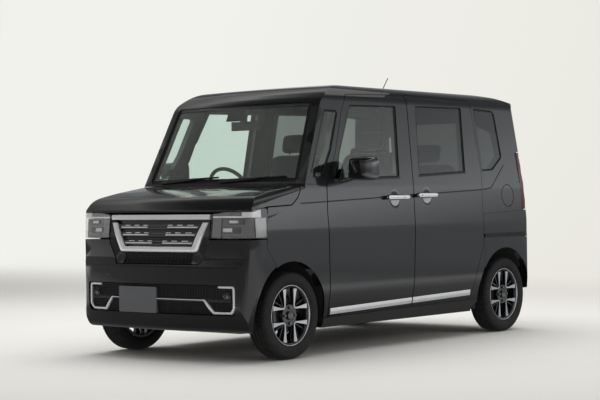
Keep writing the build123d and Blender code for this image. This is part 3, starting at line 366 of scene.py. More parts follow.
# a closed sheet between two grids of the same size, front and back, walled round its edge
def closedShell(front, back):
    rows, columns = front.shape[:2]
    size = rows * columns
    index = np.arange(size).reshape(rows, columns)
    edge = np.concatenate([index[:-1, 0], index[-1, :-1], index[:0:-1, -1], index[0, :0:-1]])
    after = np.roll(edge, -1)
    walls = np.stack([edge, edge + size, after + size, after], -1).tolist()
    faces = gridFaces(rows, columns) + [f[::-1] for f in gridFaces(rows, columns, offset=size)] + walls
    return np.concatenate([front.reshape(-1, 3), back.reshape(-1, 3)]), faces


# a tray open to the front: a back grid and walls that rise to the edge of a front grid
def openTray(front, back):
    points, faces = closedShell(front, back)
    return points, faces[(front.shape[0] - 1) * (front.shape[1] - 1):]


# a block laid on the body between two ranges of the draper's coordinates and two depths
def padOn(place, first, second, depths, counts=(16, 6), **options):
    a, b = np.meshgrid(np.linspace(*first, counts[0]), np.linspace(*second, counts[1]), indexing="ij")
    return closedShell(place(a, b, depths[0], **options), place(a, b, depths[1], **options))


# a shader node with its settings and the values of its sockets
def addNode(tree, kind, inputs=(), **settings):
    node = tree.nodes.new("ShaderNode" + kind)
    for key, value in settings.items():
        setattr(node, key, value)
    for label, value in dict(inputs).items():
        node.inputs[label].default_value = value
    return node


# links of a shader tree, each as source node, its output, target node and its input
def wire(tree, *links):
    for source, out, target, socket in links:
        tree.links.new(source.outputs[out], target.inputs[socket])


# an empty node group with named float sockets; inputs are (name, value), outputs are names
def newGroup(name, inputs, outputs):
    group = bpy.data.node_groups.new(name, "ShaderNodeTree")
    for label, value in inputs:
        group.interface.new_socket(label, in_out="INPUT", socket_type="NodeSocketFloat").default_value = value
    for label in outputs:
        group.interface.new_socket(label, in_out="OUTPUT", socket_type="NodeSocketFloat")
    return group, group.nodes.new("NodeGroupInput"), group.nodes.new("NodeGroupOutput")


# fine moulded grain: noise at one scale, out as a shade factor and a bump height
def makeGrainGroup():
    group, entry, leave = newGroup("fineGrain", [("Scale", 900.0)], ["Shade", "Height"])
    place = addNode(group, "TexCoord")
    noise = addNode(group, "TexNoise", {"Detail": 3.0, "Roughness": 0.6})
    broad = addNode(group, "TexNoise", {"Scale": 7.0, "Detail": 2.0})
    wire(group, (place, "Object", noise, "Vector"), (place, "Object", broad, "Vector"),
         (entry, "Scale", noise, "Scale"), (broad, "Fac", leave, "Shade"), (noise, "Fac", leave, "Height"))
    return group


# metal flakes under lacquer: small cells, each with its own brightness
def makeFlakeGroup():
    group, entry, leave = newGroup("metalFlake", [("Scale", 1400.0)], ["Sparkle"])
    place = addNode(group, "TexCoord")
    cells = addNode(group, "TexVoronoi")
    shape = addNode(group, "MapRange", {"From Min": 0.55, "From Max": 1.0})
    wire(group, (place, "Object", cells, "Vector"), (entry, "Scale", cells, "Scale"),
         (cells, "Color", shape, "Value"), (shape, "Result", leave, "Sparkle"))
    return group


# a speckled mask that is strongest at the ground and fades out by a height, out as a mask
def makeLowerSpeckleGroup():
    group, entry, leave = newGroup("lowerSpeckle", [("Top", 0.35)], ["Mask"])
    place = addNode(group, "TexCoord")
    split = addNode(group, "SeparateXYZ")
    fade = addNode(group, "MapRange", {"From Min": 0.0, "To Min": 1.0, "To Max": 0.0})
    noise = addNode(group, "TexNoise", {"Scale": 26.0, "Detail": 4.0})
    times = addNode(group, "Math", operation="MULTIPLY")
    wire(group, (place, "Object", split, "Vector"), (split, "Z", fade, "Value"), (entry, "Top", fade, "From Max"),
         (place, "Object", noise, "Vector"), (fade, "Result", times, 0), (noise, "Fac", times, 1),
         (times, "Value", leave, "Mask"))
    return group


fineGrain, metalFlake, lowerSpeckle = makeGrainGroup(), makeFlakeGroup(), makeLowerSpeckleGroup()
print("shader groups made")


# a material with one Principled shader; settings name its sockets with underscores for spaces
def newMaterial(name, **settings):
    material = bpy.data.materials.new(name)
    material.use_nodes = True
    tree = material.node_tree
    shader = tree.nodes["Principled BSDF"]
    for key, value in settings.items():
        shader.inputs[key.replace("_", " ")].default_value = value
    return material, tree, shader


# one of the shared node groups with the values of its sockets
def placeGroup(tree, group, **values):
    return addNode(tree, "Group", node_tree=group, inputs=values)


# mixes two colours by a node's output, from 0 to 1, into a colour socket
def shadeBy(tree, node, out, low, high, shader, socket="Base Color"):
    mix = addNode(tree, "Mix", {6: (*low, 1.0), 7: (*high, 1.0)}, data_type="RGBA")
    wire(tree, (node, out, mix, 0), (mix, 2, shader, socket))


# stretches a node's 0 to 1 output between two roughnesses
def roughBy(tree, node, out, low, high, shader):
    stretch = addNode(tree, "MapRange", {"To Min": low, "To Max": high})
    wire(tree, (node, out, stretch, "Value"), (stretch, "Result", shader, "Roughness"))


# takes a node's output as a height, and tilts the shader's normal by its slope
def bumpFrom(tree, node, out, strength, distance, shader):
    bump = addNode(tree, "Bump", {"Strength": strength, "Distance": distance})
    wire(tree, (node, out, bump, "Height"), (bump, "Normal", shader, "Normal"))


# black lacquer: metal flakes in a dark base under a clear coat
def makePaint(name, low, high, roughness, scale=1500.0):
    material, tree, shader = newMaterial(name, Metallic=0.2, Roughness=roughness, Coat_Weight=1.0,
                                         Coat_Roughness=0.02, IOR=1.45, Specular_IOR_Level=0.15)
    shadeBy(tree, placeGroup(tree, metalFlake, Scale=scale), "Sparkle", low, high, shader)
    return material


# moulded plastic or trim: two close shades, a grain and a roughness that drifts a little
def makePlastic(name, low, high, roughness, scale=900.0, bump=0.15, depth=0.0004, **settings):
    material, tree, shader = newMaterial(name, **settings)
    grain = placeGroup(tree, fineGrain, Scale=scale)
    shadeBy(tree, grain, "Shade", low, high, shader)
    roughBy(tree, grain, "Shade", roughness - 0.04, roughness + 0.05, shader)
    if bump:
        bumpFrom(tree, grain, "Height", bump, depth, shader)
    return material


# clear or tinted glass, its tint drifting by a hair
def makeGlass(name, low, high, roughness, scale=40.0):
    material, tree, shader = newMaterial(name, Transmission_Weight=1.0, IOR=1.45, Roughness=roughness)
    shadeBy(tree, placeGroup(tree, fineGrain, Scale=scale), "Shade", low, high, shader)
    return material


# bare or plated metal: two close shades and a roughness that follows the grain's height
def makeMetal(name, low, high, roughness, scale=300.0):
    material, tree, shader = newMaterial(name, Metallic=1.0)
    grain = placeGroup(tree, fineGrain, Scale=scale)
    shadeBy(tree, grain, "Shade", low, high, shader)
    roughBy(tree, grain, "Height", max(roughness - 0.03, 0.02), roughness + 0.03, shader)
    return material


# tyre rubber, greyer in speckles towards the ground
def makeRubber(name, low, high, roughness, scale=700.0):
    material, tree, shader = newMaterial(name, Specular_IOR_Level=0.35)
    grain = placeGroup(tree, fineGrain, Scale=scale)
    shadeBy(tree, placeGroup(tree, lowerSpeckle, Top=0.6), "Mask", low, high, shader)
    roughBy(tree, grain, "Shade", roughness, roughness + 0.16, shader)
    bumpFrom(tree, grain, "Height", 0.2, 0.0004, shader)
    return material


# woven seat cloth: two crossed waves for the weave, a soft sheen and a bump
def makeCloth(name, low, high, roughness, scale=260.0):
    material, tree, shader = newMaterial(name, Roughness=roughness, Sheen_Weight=0.35, Sheen_Roughness=0.4)
    place = addNode(tree, "TexCoord")
    weave = addNode(tree, "Math", operation="MULTIPLY")
    for socket, way in enumerate("XZ"):
        wave = addNode(tree, "TexWave", {"Scale": scale, "Distortion": 0.6}, bands_direction=way)
        wire(tree, (place, "Object", wave, "Vector"), (wave, "Fac", weave, socket))
    shadeBy(tree, weave, "Value", low, high, shader)
    bumpFrom(tree, weave, "Value", 0.25, 0.0008, shader)
    return material


# finishes by slot: maker, name, darker and lighter shade, roughness and other settings
smooth = dict(bump=0.0)
lacquer = dict(smooth, Coat_Weight=0.8, Coat_Roughness=0.04)
finishes = {
    "paint": [(makePaint, "blackPearlPaint", (0.0032, 0.0033, 0.0036), (0.026, 0.0268, 0.029), 0.36, {})],
    "alloy": [
        (makeMetal, "brightChrome", (0.82, 0.83, 0.85), (0.9, 0.9, 0.92), 0.06, {}),
        (makeMetal, "machinedSilver", (0.52, 0.53, 0.55), (0.66, 0.67, 0.69), 0.26, dict(scale=500.0)),
        (makePlastic, "wheelBlack", (0.006, 0.006, 0.0065), (0.011, 0.011, 0.012), 0.25,
         dict(bump=0.03, Coat_Weight=0.6, Coat_Roughness=0.06)),
        (makeMetal, "castSteel", (0.2, 0.2, 0.205), (0.32, 0.32, 0.325), 0.42, dict(scale=160.0)),
        (makePlastic, "dishSilver", (0.46, 0.465, 0.475), (0.56, 0.565, 0.575), 0.25, dict(smooth, Metallic=0.4)),
        # the bright trim stands for chrome: its pale base colour is a painted reflection of bright light, lit as a
        # satin surface
        (makePlastic, "brightTrim", (0.74, 0.75, 0.77), (0.82, 0.83, 0.85), 0.16, dict(lacquer, Metallic=0.35))],
    "black_plastic": [
        (makePlastic, "glossBlack", (0.004, 0.004, 0.0045), (0.007, 0.007, 0.008), 0.12,
         dict(smooth, Coat_Weight=1.0, Coat_Roughness=0.02)),
        (makePlastic, "grainedBlack", (0.012, 0.012, 0.0125), (0.019, 0.019, 0.02), 0.5, {}),
        (makePlastic, "underbodyCoat", (0.014, 0.014, 0.014), (0.028, 0.027, 0.026), 0.62,
         dict(scale=240.0, bump=0.3)),
        (makePlastic, "cabinPlastic", (0.016, 0.016, 0.017), (0.026, 0.026, 0.028), 0.6, dict(scale=1100.0)),
        (makePlastic, "seamShadow", (0.0015, 0.0015, 0.0016), (0.003, 0.003, 0.003), 0.55, smooth),
        (makePlastic, "lampHousing", (0.01, 0.01, 0.011), (0.02, 0.02, 0.022), 0.3, {}),
        (makePlastic, "seatSideTrim", (0.012, 0.012, 0.0125), (0.02, 0.02, 0.021), 0.5, dict(scale=700.0, bump=0.3))],
    "rubber": [
        (makePlastic, "rubberSeal", (0.007, 0.007, 0.007), (0.012, 0.012, 0.012), 0.68, dict(scale=500.0)),
        (makeRubber, "tyreRubber", (0.011, 0.011, 0.0115), (0.035, 0.034, 0.032), 0.62, {})],
    "glass": [
        (makeGlass, "windscreenGlass", (0.788, 0.8865, 0.8471), (0.80, 0.90, 0.86), 0.0, {}),
        (makeGlass, "privacyGlass", (0.197, 0.211775, 0.20685), (0.20, 0.215, 0.21), 0.0, {})],
    "lamp": [
        (makeGlass, "lampCover", (0.91605, 0.9259, 0.93575), (0.93, 0.94, 0.95), 0.0, {}),
        (makeGlass, "redLens", (0.2955, 0.00591, 0.00591), (0.30, 0.006, 0.006), 0.03, {}),
        (makePlastic, "lampOuter", (0.26, 0.265, 0.275), (0.36, 0.365, 0.375), 0.18, dict(lacquer, Metallic=0.3)),
        (makePlastic, "lampReflector", (0.07, 0.072, 0.076), (0.12, 0.122, 0.126), 0.22,
         dict(lacquer, Metallic=0.4, Coat_Roughness=0.05)),
        (makePlastic, "lampUnit", (0.45, 0.46, 0.47), (0.6, 0.61, 0.62), 0.15, dict(smooth, Metallic=0.6)),
        (makePlastic, "lightGuide", (0.85, 0.86, 0.87), (0.95, 0.95, 0.95), 0.2, dict(smooth, Coat_Weight=0.5)),
        (makePlastic, "tailGuide", (0.5, 0.01, 0.012), (0.65, 0.02, 0.02), 0.3, smooth)],
    "plate": [(makePlastic, "blankPlate", (0.094, 0.098, 0.105), (0.112, 0.116, 0.122), 0.42,
               dict(scale=1200.0, bump=0.06))],
    "fabric": [
        (makeCloth, "seatCloth", (0.014, 0.014, 0.0145), (0.034, 0.033, 0.033), 0.9, {}),
        (makePlastic, "seatThread", (0.1, 0.1, 0.1), (0.16, 0.155, 0.15), 0.7, dict(scale=1400.0))],
}
finish = {name: make(name, low, high, rough, **settings)
          for rows in finishes.values() for make, name, low, high, rough, settings in rows}
print("materials made")


# both sides' names of mirrored nodes
def bothSides(*names):
    return [f"{name}_{side}" for name in names for side in sides.values()]


skins = {
    "blackPearlPaint": ["body_shell", "bonnet", "tailgate", "fuel_lid", "front_bumper", "rear_bumper",
                        *bothSides("front_door", "sliding_door", "front_wing")],
    "underbodyCoat": ["floor_pan", "cross_member", "rear_axle", "engine", "exhaust"],
    "castSteel": bothSides("knuckle", "strut"),
    "grainedBlack": ["cowl"],
    "cabinPlastic": ["dashboard"],
    "windscreenGlass": ["windscreen", *bothSides("front_door_glass", "front_quarter_glass")],
    "privacyGlass": ["tailgate_glass", *bothSides("sliding_door_glass", "rear_quarter_glass")],
    "blankPlate": ["number_plate_front", "number_plate_rear"],
}
sheets = ("blackPearlPaint", "windscreenGlass", "privacyGlass")


# corner normals taken from the body form's own slope wherever a face lies on the skin, so that long thin
# triangles beside cut-outs shade as one sheet; each is read a little way inside its face
def shadeByForm(obj):
    look = dict(near=0.0009, middleNear=0.0018, step=0.0005, inside=0.001, agree=0.94, least=1e-9)
    mesh = obj.data

    # one attribute of many elements as an array
    def read(items, attribute, kind=float, width=3):
        values = np.empty(len(items) * width, kind)
        items.foreach_get(attribute, values)
        return values.reshape(-1, width) if width > 1 else values

    counts = read(mesh.polygons, "loop_total", int, 1)
    corner = read(mesh.vertices, "co")[read(mesh.loops, "vertex_index", int, 1)]
    own = read(mesh.corner_normals, "vector")
    centre, flat = (np.repeat(read(mesh.polygons, key), counts, axis=0) for key in ("center", "normal"))
    toward = centre - corner
    share = np.minimum(look["inside"] / np.maximum(np.linalg.norm(toward, axis=1), look["least"]), 1.0)
    at = corner + toward * share[:, None]
    slope = np.stack([bodyDepth(at - look["step"] * e) - bodyDepth(at + look["step"] * e) for e in np.eye(3)], -1)
    slope /= np.maximum(np.linalg.norm(slope, axis=1), look["least"])[:, None]
    onForm = (np.abs(bodyDepth(corner)) < look["near"]) & (np.abs(bodyDepth(centre)) < look["middleNear"])
    onForm &= (slope * flat).sum(1) > look["agree"]
    own[onForm] = slope[onForm]
    mesh.normals_split_custom_set(own.tolist())


for look, names in skins.items():
    for name in names:
        skin = skinOf(name, look)
        if look in sheets:
            shadeByForm(skin)
print("CAD surfaces dressed")


# the tyre: a bulged side wall that rises as a sine between bead and shoulder, and a crowned tread
# with straight grooves; every fifth column is cut down as a cross groove on the shoulders, and as a shallower
# slit on the ribs between the straight grooves
def makeTyre(end, side, centre):
    look = dict(radius=0.277, bead=0.1935, beadOut=0.0585, bulge=0.0183, widest=0.0773, shoulder=0.2705,
                treadHalf=0.0605, wallTop=0.0645, crown=0.003, grooves=(0.014, 0.0405), grooveHalf=0.0036,
                grooveLip=0.0008, grooveSlack=0.0002, grooveDepth=0.0065, edge=(0.050, 0.056), edgeDrop=0.0018,
                around=360, blocks=72, blockDepth=0.0045, blockFrom=0.0445, wallReach=0.006, slits=(0.018, 0.0365),
                slitShare=0.7, slitReach=0.003, ribRadius=0.2, ribHalf=0.003, ribHeight=0.0012,
                sine=(0.96, 0.03, 0.75))
    t = np.linspace(0.0, 1.0, 15)
    radius = look["bead"] + t * (look["shoulder"] - look["bead"])
    wall = look["beadOut"] + (look["wallTop"] - look["beadOut"]) * t
    span, start, power = look["sine"]
    wall = wall + look["bulge"] * np.sin(math.pi * np.clip(t * span + start, 0, 1)) ** power
    onWallRib = np.abs(radius - look["ribRadius"]) < look["ribHalf"]
    wall = np.minimum(wall + look["ribHeight"] * onWallRib, look["widest"])
    half, lip = look["grooveHalf"], look["grooveLip"]
    edges = [groove + step for groove in look["grooves"] for step in (-half - lip, -half, half, half + lip)]
    edges = [*edges, *look["edge"], look["treadHalf"]]
    x = np.array([-e for e in edges[::-1]] + [0.0] + edges)
    half = half + look["grooveSlack"]
    inGroove = np.any([np.abs(np.abs(x) - groove) < half for groove in look["grooves"]], axis=0)
    tread = look["radius"] - look["crown"] * (x / look["treadHalf"]) ** 2 - look["grooveDepth"] * inGroove
    tread[[0, -1]] -= look["edgeDrop"]
    offset = np.concatenate([-wall, x, wall[::-1]])
    radius = np.concatenate([radius, tread, radius[::-1]])
    column = (np.arange(look["around"]) % (look["around"] // look["blocks"]))[:, None]
    out, (slitIn, slitOut) = np.abs(offset), look["slits"]
    onShoulder = (out > look["blockFrom"]) & (radius > look["shoulder"] - look["wallReach"])
    onRib = (out < slitOut) & (out > slitIn) & (radius > look["radius"] - look["slitReach"])
    cut = (column == 0) * onShoulder + look["slitShare"] * (column == 2) * onRib
    ring = radius - look["blockDepth"] * cut
    angle = circle(look["around"])[:, None]
    points = stacked(side * offset, ring * np.cos(angle), ring * np.sin(angle)) + centre
    dress(f"tyre_{end}_{sides[side]}", [("rubber", [gridPart(points, closedRows=True)], "tyreRubber")])


# the wheel: black arms and barrel, machined faces on the arms, thin bright rim line, nuts and plain cap; an arm
# pair's line runs in from the rim beside one spoke axis, round a corner by the hub and out beside the next, and
# its half width grows with a power of the way out
def makeRim(end, side, centre):
    look = dict(rimAngle=17.5, rimRadius=0.1745, corner=0.043, cornerRadius=0.02, thinRadius=0.055, thin=0.0042,
                wide=0.0165, faceHub=0.0535, faceRim=0.0605, vee=(33.0, 57.0), veeHalf=0.0045, veeStart=0.052,
                veeEnd=0.175, veeFace=0.047, nutCircle=0.05, nutRadius=0.0095, nutTop=0.0645, nutEdge=0.003,
                capRadius=0.0275)
    silverRows = np.array([(-1.0, -0.0012), (-0.94, 0.0), (-0.5, 0.0), (0.0, 0.0), (0.5, 0.0), (0.94, 0.0),
                           (1.0, -0.0012)])
    blackRows = np.array([(-1.25, -0.03), (-1.25, -0.006), (-1.0, -0.0012), (0.0, -0.0013), (1.0, -0.0012),
                          (1.25, -0.006), (1.25, -0.03)])
    veeRows = np.array([(-1.6, -0.026), (-1.0, 0.0), (0.0, 0.0015), (1.0, 0.0), (1.6, -0.026)])
    barrel = [(0.0655, 0.1928), (0.0662, 0.190), (0.0655, 0.1875), (0.0605, 0.1845), (0.0585, 0.1795),
              (0.054, 0.1755), (0.048, 0.1715), (0.03, 0.1695), (-0.058, 0.1695), (-0.066, 0.1765),
              (-0.0655, 0.1925), (-0.062, 0.1925), (-0.058, 0.178), (0.058, 0.178), (0.0615, 0.1925),
              (0.0655, 0.1928)]
    hub = [(0.0425, 0.072), (0.0525, 0.068), (0.0525, 0.042), (0.0505, 0.04), (0.0505, 0.031), (0.0525, 0.03),
           (0.0525, 0.0001)]
    lip = [(0.0608, 0.1838), (0.0622, 0.1845), (0.0655, 0.1868), (0.0666, 0.1895), (0.0662, 0.1915), (0.0652, 0.1925)]
    nut = [(0.05, look["nutRadius"]), (look["nutTop"] - look["nutEdge"], look["nutRadius"]),
           (look["nutTop"], look["nutRadius"] - look["nutEdge"]), (look["nutTop"], 0.0001)]
    cap = [(0.05, look["capRadius"]), (0.062, look["capRadius"] - 0.0005), (0.0645, look["capRadius"] - 0.003),
           (0.065, 0.012), (0.0652, 0.0001)]

    # the point at a radius and an angle of the wheel's face
    def polar(radius, degrees):
        return radius * math.cos(math.radians(degrees)), radius * math.sin(math.radians(degrees))

    # an arm's section carried along its line, turned by a quarter and set on the wheel
    def arm(line, width, rows, face, spin):
        flat = across(line, width, rows[:, 0]) @ spin
        x = np.broadcast_to(face, len(line))[:, None] + rows[None, :, 1]
        return gridPart(np.concatenate([side * x[..., None], flat], -1) + centre)

    start = polar(look["rimRadius"], look["rimAngle"])
    line = spaced(roundedLine([(*start, 0), (look["corner"], look["corner"], look["cornerRadius"]),
                               (*start[::-1], 0)], 14), 71)
    radius = np.hypot(line[:, 0], line[:, 1])
    out = np.clip((radius - look["thinRadius"]) / (look["rimRadius"] - look["thinRadius"]), 0.0, 1.0)
    width = look["thin"] + (look["wide"] - look["thin"]) * out ** 1.7
    face = look["faceHub"] + (look["faceRim"] - look["faceHub"]) * (radius / look["rimRadius"]) ** 1.6
    silver, black, nuts = [], [], []
    for quarter in range(4):
        c, s = polar(1.0, 90.0 * quarter)
        spin = np.array([[c, s], [-s, c]])
        silver.append(arm(line, width, silverRows, face, spin))
        black.append(arm(line, width, blackRows, face, spin))
        for degrees in look["vee"]:
            vee = spaced([(look["veeStart"], look["veeStart"]), polar(look["veeEnd"], degrees)], 12)
            black.append(arm(vee, look["veeHalf"], veeRows, look["veeFace"], spin))
        nuts.append(turnedPart(nut, centre + np.array([0.0, *polar(look["nutCircle"], 90.0 * quarter)]), side, 6))
    black += [turnedPart(barrel, centre, side, 144), turnedPart(hub, centre, side, 72)]
    silver.append(turnedPart(lip, centre, side, 144))
    dress(f"rim_{end}_{sides[side]}", [("arms", black, "wheelBlack"), ("faces", silver, "machinedSilver"),
                                       ("nuts", nuts, "castSteel"),
                                       ("cap", [turnedPart(cap, centre, side, 48)], "glossBlack", "alloy")])


for end, axleY in (("front", -1.2055), ("rear", 1.3145)):
    for side in sides:
        hub = np.array([side * 0.6525, axleY, 0.277])
        makeTyre(end, side, hub)
        makeRim(end, side, hub)
print("wheels made")


# a bright or dark bar laid level across the nose, crowned from its top's depth down to its foot's
def noseBar(a, b, height, half, depths, count=40):
    return stripOn(onNose, level(a, b, height, count), half, crowned(*depths))


# the upper grille: dark backing and slats, bright bars and dashes, the bright U and the bar above
def makeGrille():
    look = dict(topBar=(0.430, 0.9055, 0.0155), uOuter=[(0.419, 0.870, 0), (0.333, 0.686, 0.03)],
                uInner=[(0.375, 0.870, 0), (0.294, 0.719, 0.012)],
                bars=((0.8415, 0.088, 0.332), (0.7935, 0.076, 0.312), (0.7415, 0.046, 0.292)), barHalf=0.0036,
                barDepths=(0.009, 0.024), dashes=((0.0, 0.040), (0.078, 0.122), (0.162, 0.212)), dashRise=0.0125,
                dashHalf=0.0026, dashDepths=(0.0125, 0.024),
                slats=((0.03, -0.0045, 0.0058, 0.0112), (0.025, 0.0125, 0.0065, 0.0150),
                       (0.02, 0.0285, 0.0035, 0.021)), slatFoot=0.038,
                cheekOuter=[(0.434, 0.886, 0), (0.434, 0.735, 0.02), (0.362, 0.612, 0.02), (0.30, 0.612, 0)],
                cheekInner=[(0.392, 0.886, 0), (0.392, 0.80, 0.02), (0.322, 0.682, 0.02), (0.292, 0.66, 0)],
                meshRows=np.arange(0.618, 0.685, 0.0125), meshColumns=np.arange(-0.30, 0.301, 0.03), meshReach=0.318,
                meshHeights=(0.610, 0.65, 0.688), meshHalf=(0.0022, 0.0016),
                meshDepths=((0.012, 0.03, 0.0005, 3), (0.0135, 0.03, 0.0005, 3)))
    topRows = [(-1, 0.02), (-1, 0.005), (-0.62, 0.002), (-0.55, 0.0042), (-0.48, 0.0015), (-0.1, 0.0),
               (0.6, 0.0008), (0.92, 0.003), (1, 0.006), (1, 0.02)]
    uRows = [(0, 0.02), (0, 0.0065), (0.08, 0.003), (0.3, 0.0008), (0.6, 0.0002), (0.85, 0.0012), (1, 0.004),
             (1, 0.02)]
    cheekRows = [(0, 0.026), (0, 0.012), (0.5, 0.009), (1, 0.005), (1, 0.026)]

    # corners mirrored to one side
    def sided(line, side):
        return [(side * x, z, r) for x, z, r in line]

    half, height, width = look["topBar"]
    outer, inner = (look[key] + sided(look[key][::-1], -1) for key in ("uOuter", "uInner"))
    bright = [stripOn(onNose, level(-half, half, height, 80), width, topRows),
              bandOn(onNose, outer, inner, uRows, 160)]
    dark = []
    for z, start, stop in look["bars"]:
        for side in sides:
            bright.append(noseBar(side * start, side * stop, z, look["barHalf"], look["barDepths"]))
            bright += [noseBar(side * (start + low), side * (start + high), z + look["dashRise"], look["dashHalf"],
                               look["dashDepths"], 8) for low, high in look["dashes"]]
        dark += [noseBar(-stop - reach, stop + reach, z + rise, width, (top, look["slatFoot"]))
                 for reach, rise, width, top in look["slats"]]
    dark.append(sheetOn(onNose, np.linspace(-0.40, 0.40, 40), np.linspace(0.69, 0.888, 12), look["slatFoot"]))
    dark += [bandOn(onNose, sided(look["cheekOuter"], side), sided(look["cheekInner"], side), cheekRows, 60)
             for side in sides]
    (rowHalf, columnHalf), (rowDepths, columnDepths) = look["meshHalf"], look["meshDepths"]
    mesh = [noseBar(-look["meshReach"], look["meshReach"], z, rowHalf, rowDepths, 50) for z in look["meshRows"]]
    mesh += [stripOn(onNose, [(x, z) for z in look["meshHeights"]], columnHalf, crowned(*columnDepths))
             for x in look["meshColumns"]]
    mesh.append(sheetOn(onNose, np.linspace(-0.434, 0.434, 40), np.linspace(0.60, 0.70, 8), 0.045))
    dress("grille", [("bright", bright, "brightTrim"), ("dark", dark, "glossBlack"), ("mesh", mesh, "grainedBlack")])


# a (distance behind its face, radius) profile turned about the nose's own outward line at a place
def facingNose(profile, at, around=40):
    out = np.array([at[0], at[1] - bow, 0.0])
    out /= np.linalg.norm(out)
    right = np.array([-out[1], out[0], 0.0])
    behind, radius = np.asarray(profile, float).T[:, :, None]
    angle = circle(around)[:, None, None]
    ring = np.cos(angle) * right + np.sin(angle) * np.array([0.0, 0.0, 1.0])
    return gridPart(at + ring * radius - out * behind, closedRows=True)


# the lower intake: backing, mesh of thin slats, bright C trims joined by a thin bar, round fog lamps
def makeIntake():
    look = dict(half=0.634, back=(0.297, 0.485, 0.05), heights=(0.300, 0.39, 0.482), firstRow=0.306, pitchZ=0.0105,
                columns=np.arange(-0.62, 0.621, 0.021), meshHalf=(0.0017, 0.0015),
                meshDepths=((0.015, 0.026, 0.0005, 3), (0.0165, 0.026, 0.0005, 3)),
                rails=((-0.35, 0.60), (-0.60, -0.38)), rail=(0.387, 0.010, (0.0115, 0.03)),
                trimEnd={1: 0.012, -1: 0.335}, trimDepths=(0.0052, 0.022, 0.003), fog=(0.566, 0.414, 0.012),
                fogRadius=0.027)
    trim = [(0.512, 0.4725, 0), (0.624, 0.4725, 0.014), (0.6245, 0.342, 0.024), (0.601, 0.3115, 0.018),
            (0.470, 0.3115, 0.014), (0.402, 0.3905, 0.014)]
    trimHalf = ([0.0, 0.385, 0.405, 0.44, 0.52, 0.63], [0.0030, 0.0034, 0.0062, 0.0092, 0.0070, 0.0078])
    half, (low, high, depth), r = look["half"], look["back"], look["fogRadius"]
    (rowHalf, columnHalf), (rowDepths, columnDepths) = look["meshHalf"], look["meshDepths"]
    mesh = [sheetOn(onNose, np.linspace(-half, half, 60), np.linspace(low, high, 8), depth)]
    mesh += [noseBar(-half, half, z, rowHalf, rowDepths, 60)
             for z in np.arange(look["firstRow"], look["heights"][-1], look["pitchZ"])]
    mesh += [stripOn(onNose, [(x, z) for z in look["heights"]], columnHalf, crowned(*columnDepths))
             for x in look["columns"]]
    mesh += [noseBar(x0, x1, *look["rail"]) for x0, x1 in look["rails"]]
    ring = [(0.012, r + 0.006), (0.0, r + 0.005), (-0.002, r + 0.002), (0.003, r - 0.001)]
    bowl = [(0.003, r), (0.016, r * 0.75), (0.022, r * 0.35), (0.012, r * 0.2), (0.010, 0.0001)]
    lens = [(0.004, r - 0.0005), (0.0, r * 0.8), (-0.0015, r * 0.4), (-0.002, 0.0001)]
    bright, places = [], []
    for side in sides:
        line = spaced(roundedLine([*trim, (look["trimEnd"][side], 0.3915, 0)], 8), 150)
        width = np.interp(line[:, 0], *trimHalf)
        bright.append(stripOn(onNose, line * (side, 1.0), width, crowned(*look["trimDepths"])))
        places.append(onNose(side * look["fog"][0], *look["fog"][1:]))
    rings, bowls, lenses = ([facingNose(profile, at) for at in places] for profile in (ring, bowl, lens))
    dress("intake_grille", [("mesh", mesh, "grainedBlack"), ("bright", bright, "brightTrim")])
    dress("intake_grille", [("fogRings", rings, "glossBlack"), ("fogBowls", bowls, "brightTrim"),
                            ("fogLenses", lenses, "lampCover")], False)


# a headlamp: clear cover over a dark tray, a light guide along the top that widens to a block at its outer
# end, pale reflector panels, and two rectangular units in a dark block; each part's rows give its angles, its
# low and high places, its front and back depths and its counts
def makeHeadlamp(side):
    look = dict(angles=(-6.3, 86.3), foot=0.770, guide=0.9035, guideHalf=0.0055, cover=(0.0004, 0.0022),
                tray=(0.0032, 0.047), trayInset=(1.0, 0.006), rim=1.5, edge=0.0085, block=(47.0, 74.0),
                top=([-6.3, 40.0, 62.0, 86.3], [0.9225, 0.943, 0.950, 0.9535]))
    (a0, a1), foot, guide, half = look["angles"], look["foot"], look["guide"], look["guideHalf"]
    (front, back), (inset, margin), (b0, b1) = look["tray"], look["trayInset"], look["block"]
    full, rim, edge = (72, 22), look["rim"], look["edge"]

    # a patch between two angles, from a low height to a high one or up to the lamp's own top less a margin
    def patch(b0, b1, low, high, depth, counts):
        u, v = np.meshgrid(np.linspace(b0, b1, counts[0]), np.linspace(0.0, 1.0, counts[1]), indexing="ij")
        top = np.interp(u, *look["top"]) - high if high < 0.1 else high
        return onCorner(u, low + (top - low) * v, depth, side)

    def pads(*rows):
        return [closedShell(patch(*row[:4], row[4], row[6]), patch(*row[:4], row[5], row[6])) for row in rows]

    tray = openTray(patch(a0, a1, foot, 0.0, front, full),
                    patch(a0 + inset, a1 - inset, foot + margin, margin, back, full))
    dress(f"headlamp_{sides[side]}", [
        ("cover", pads((a0, a1, foot, 0.0, *look["cover"], full)), "lampCover"),
        ("tray", [tray], "lampHousing"),
        ("guide", pads((a0 + 1.2, b0 + 2.0, guide - half, guide + half, 0.006, 0.02, (60, 4)),
                       (b0, b1, guide - 0.004, margin, 0.0052, 0.02, (24, 10))), "lightGuide"),
        ("panels", pads((a0 + rim, b0 - rim, guide + edge, 0.004, 0.0085, 0.03, (40, 5)),
                        (a0 + rim, 12.5, foot + margin, guide - edge, 0.010, 0.035, (14, 10))), "lampReflector"),
        ("outer", pads((64.0, a1 - rim, foot + margin, guide - 0.008, 0.009, 0.035, (20, 10))), "lampOuter"),
        ("block", pads((14.0, 63.0, foot + 0.004, guide - edge, 0.017, 0.04, (30, 8))), "glossBlack"),
        ("units", pads((28.0, 42.0, 0.866, 0.882, 0.0085, 0.018, (10, 4)),
                       (16.5, 33.0, 0.812, 0.834, 0.0085, 0.018, (10, 4))), "lampUnit"),
        ("frames", pads((26.0, 50.0, 0.858, 0.888, 0.0125, 0.02, (14, 4)),
                        (14.6, 45.0, 0.802, 0.840, 0.0125, 0.02, (14, 4))), "lampHousing")])


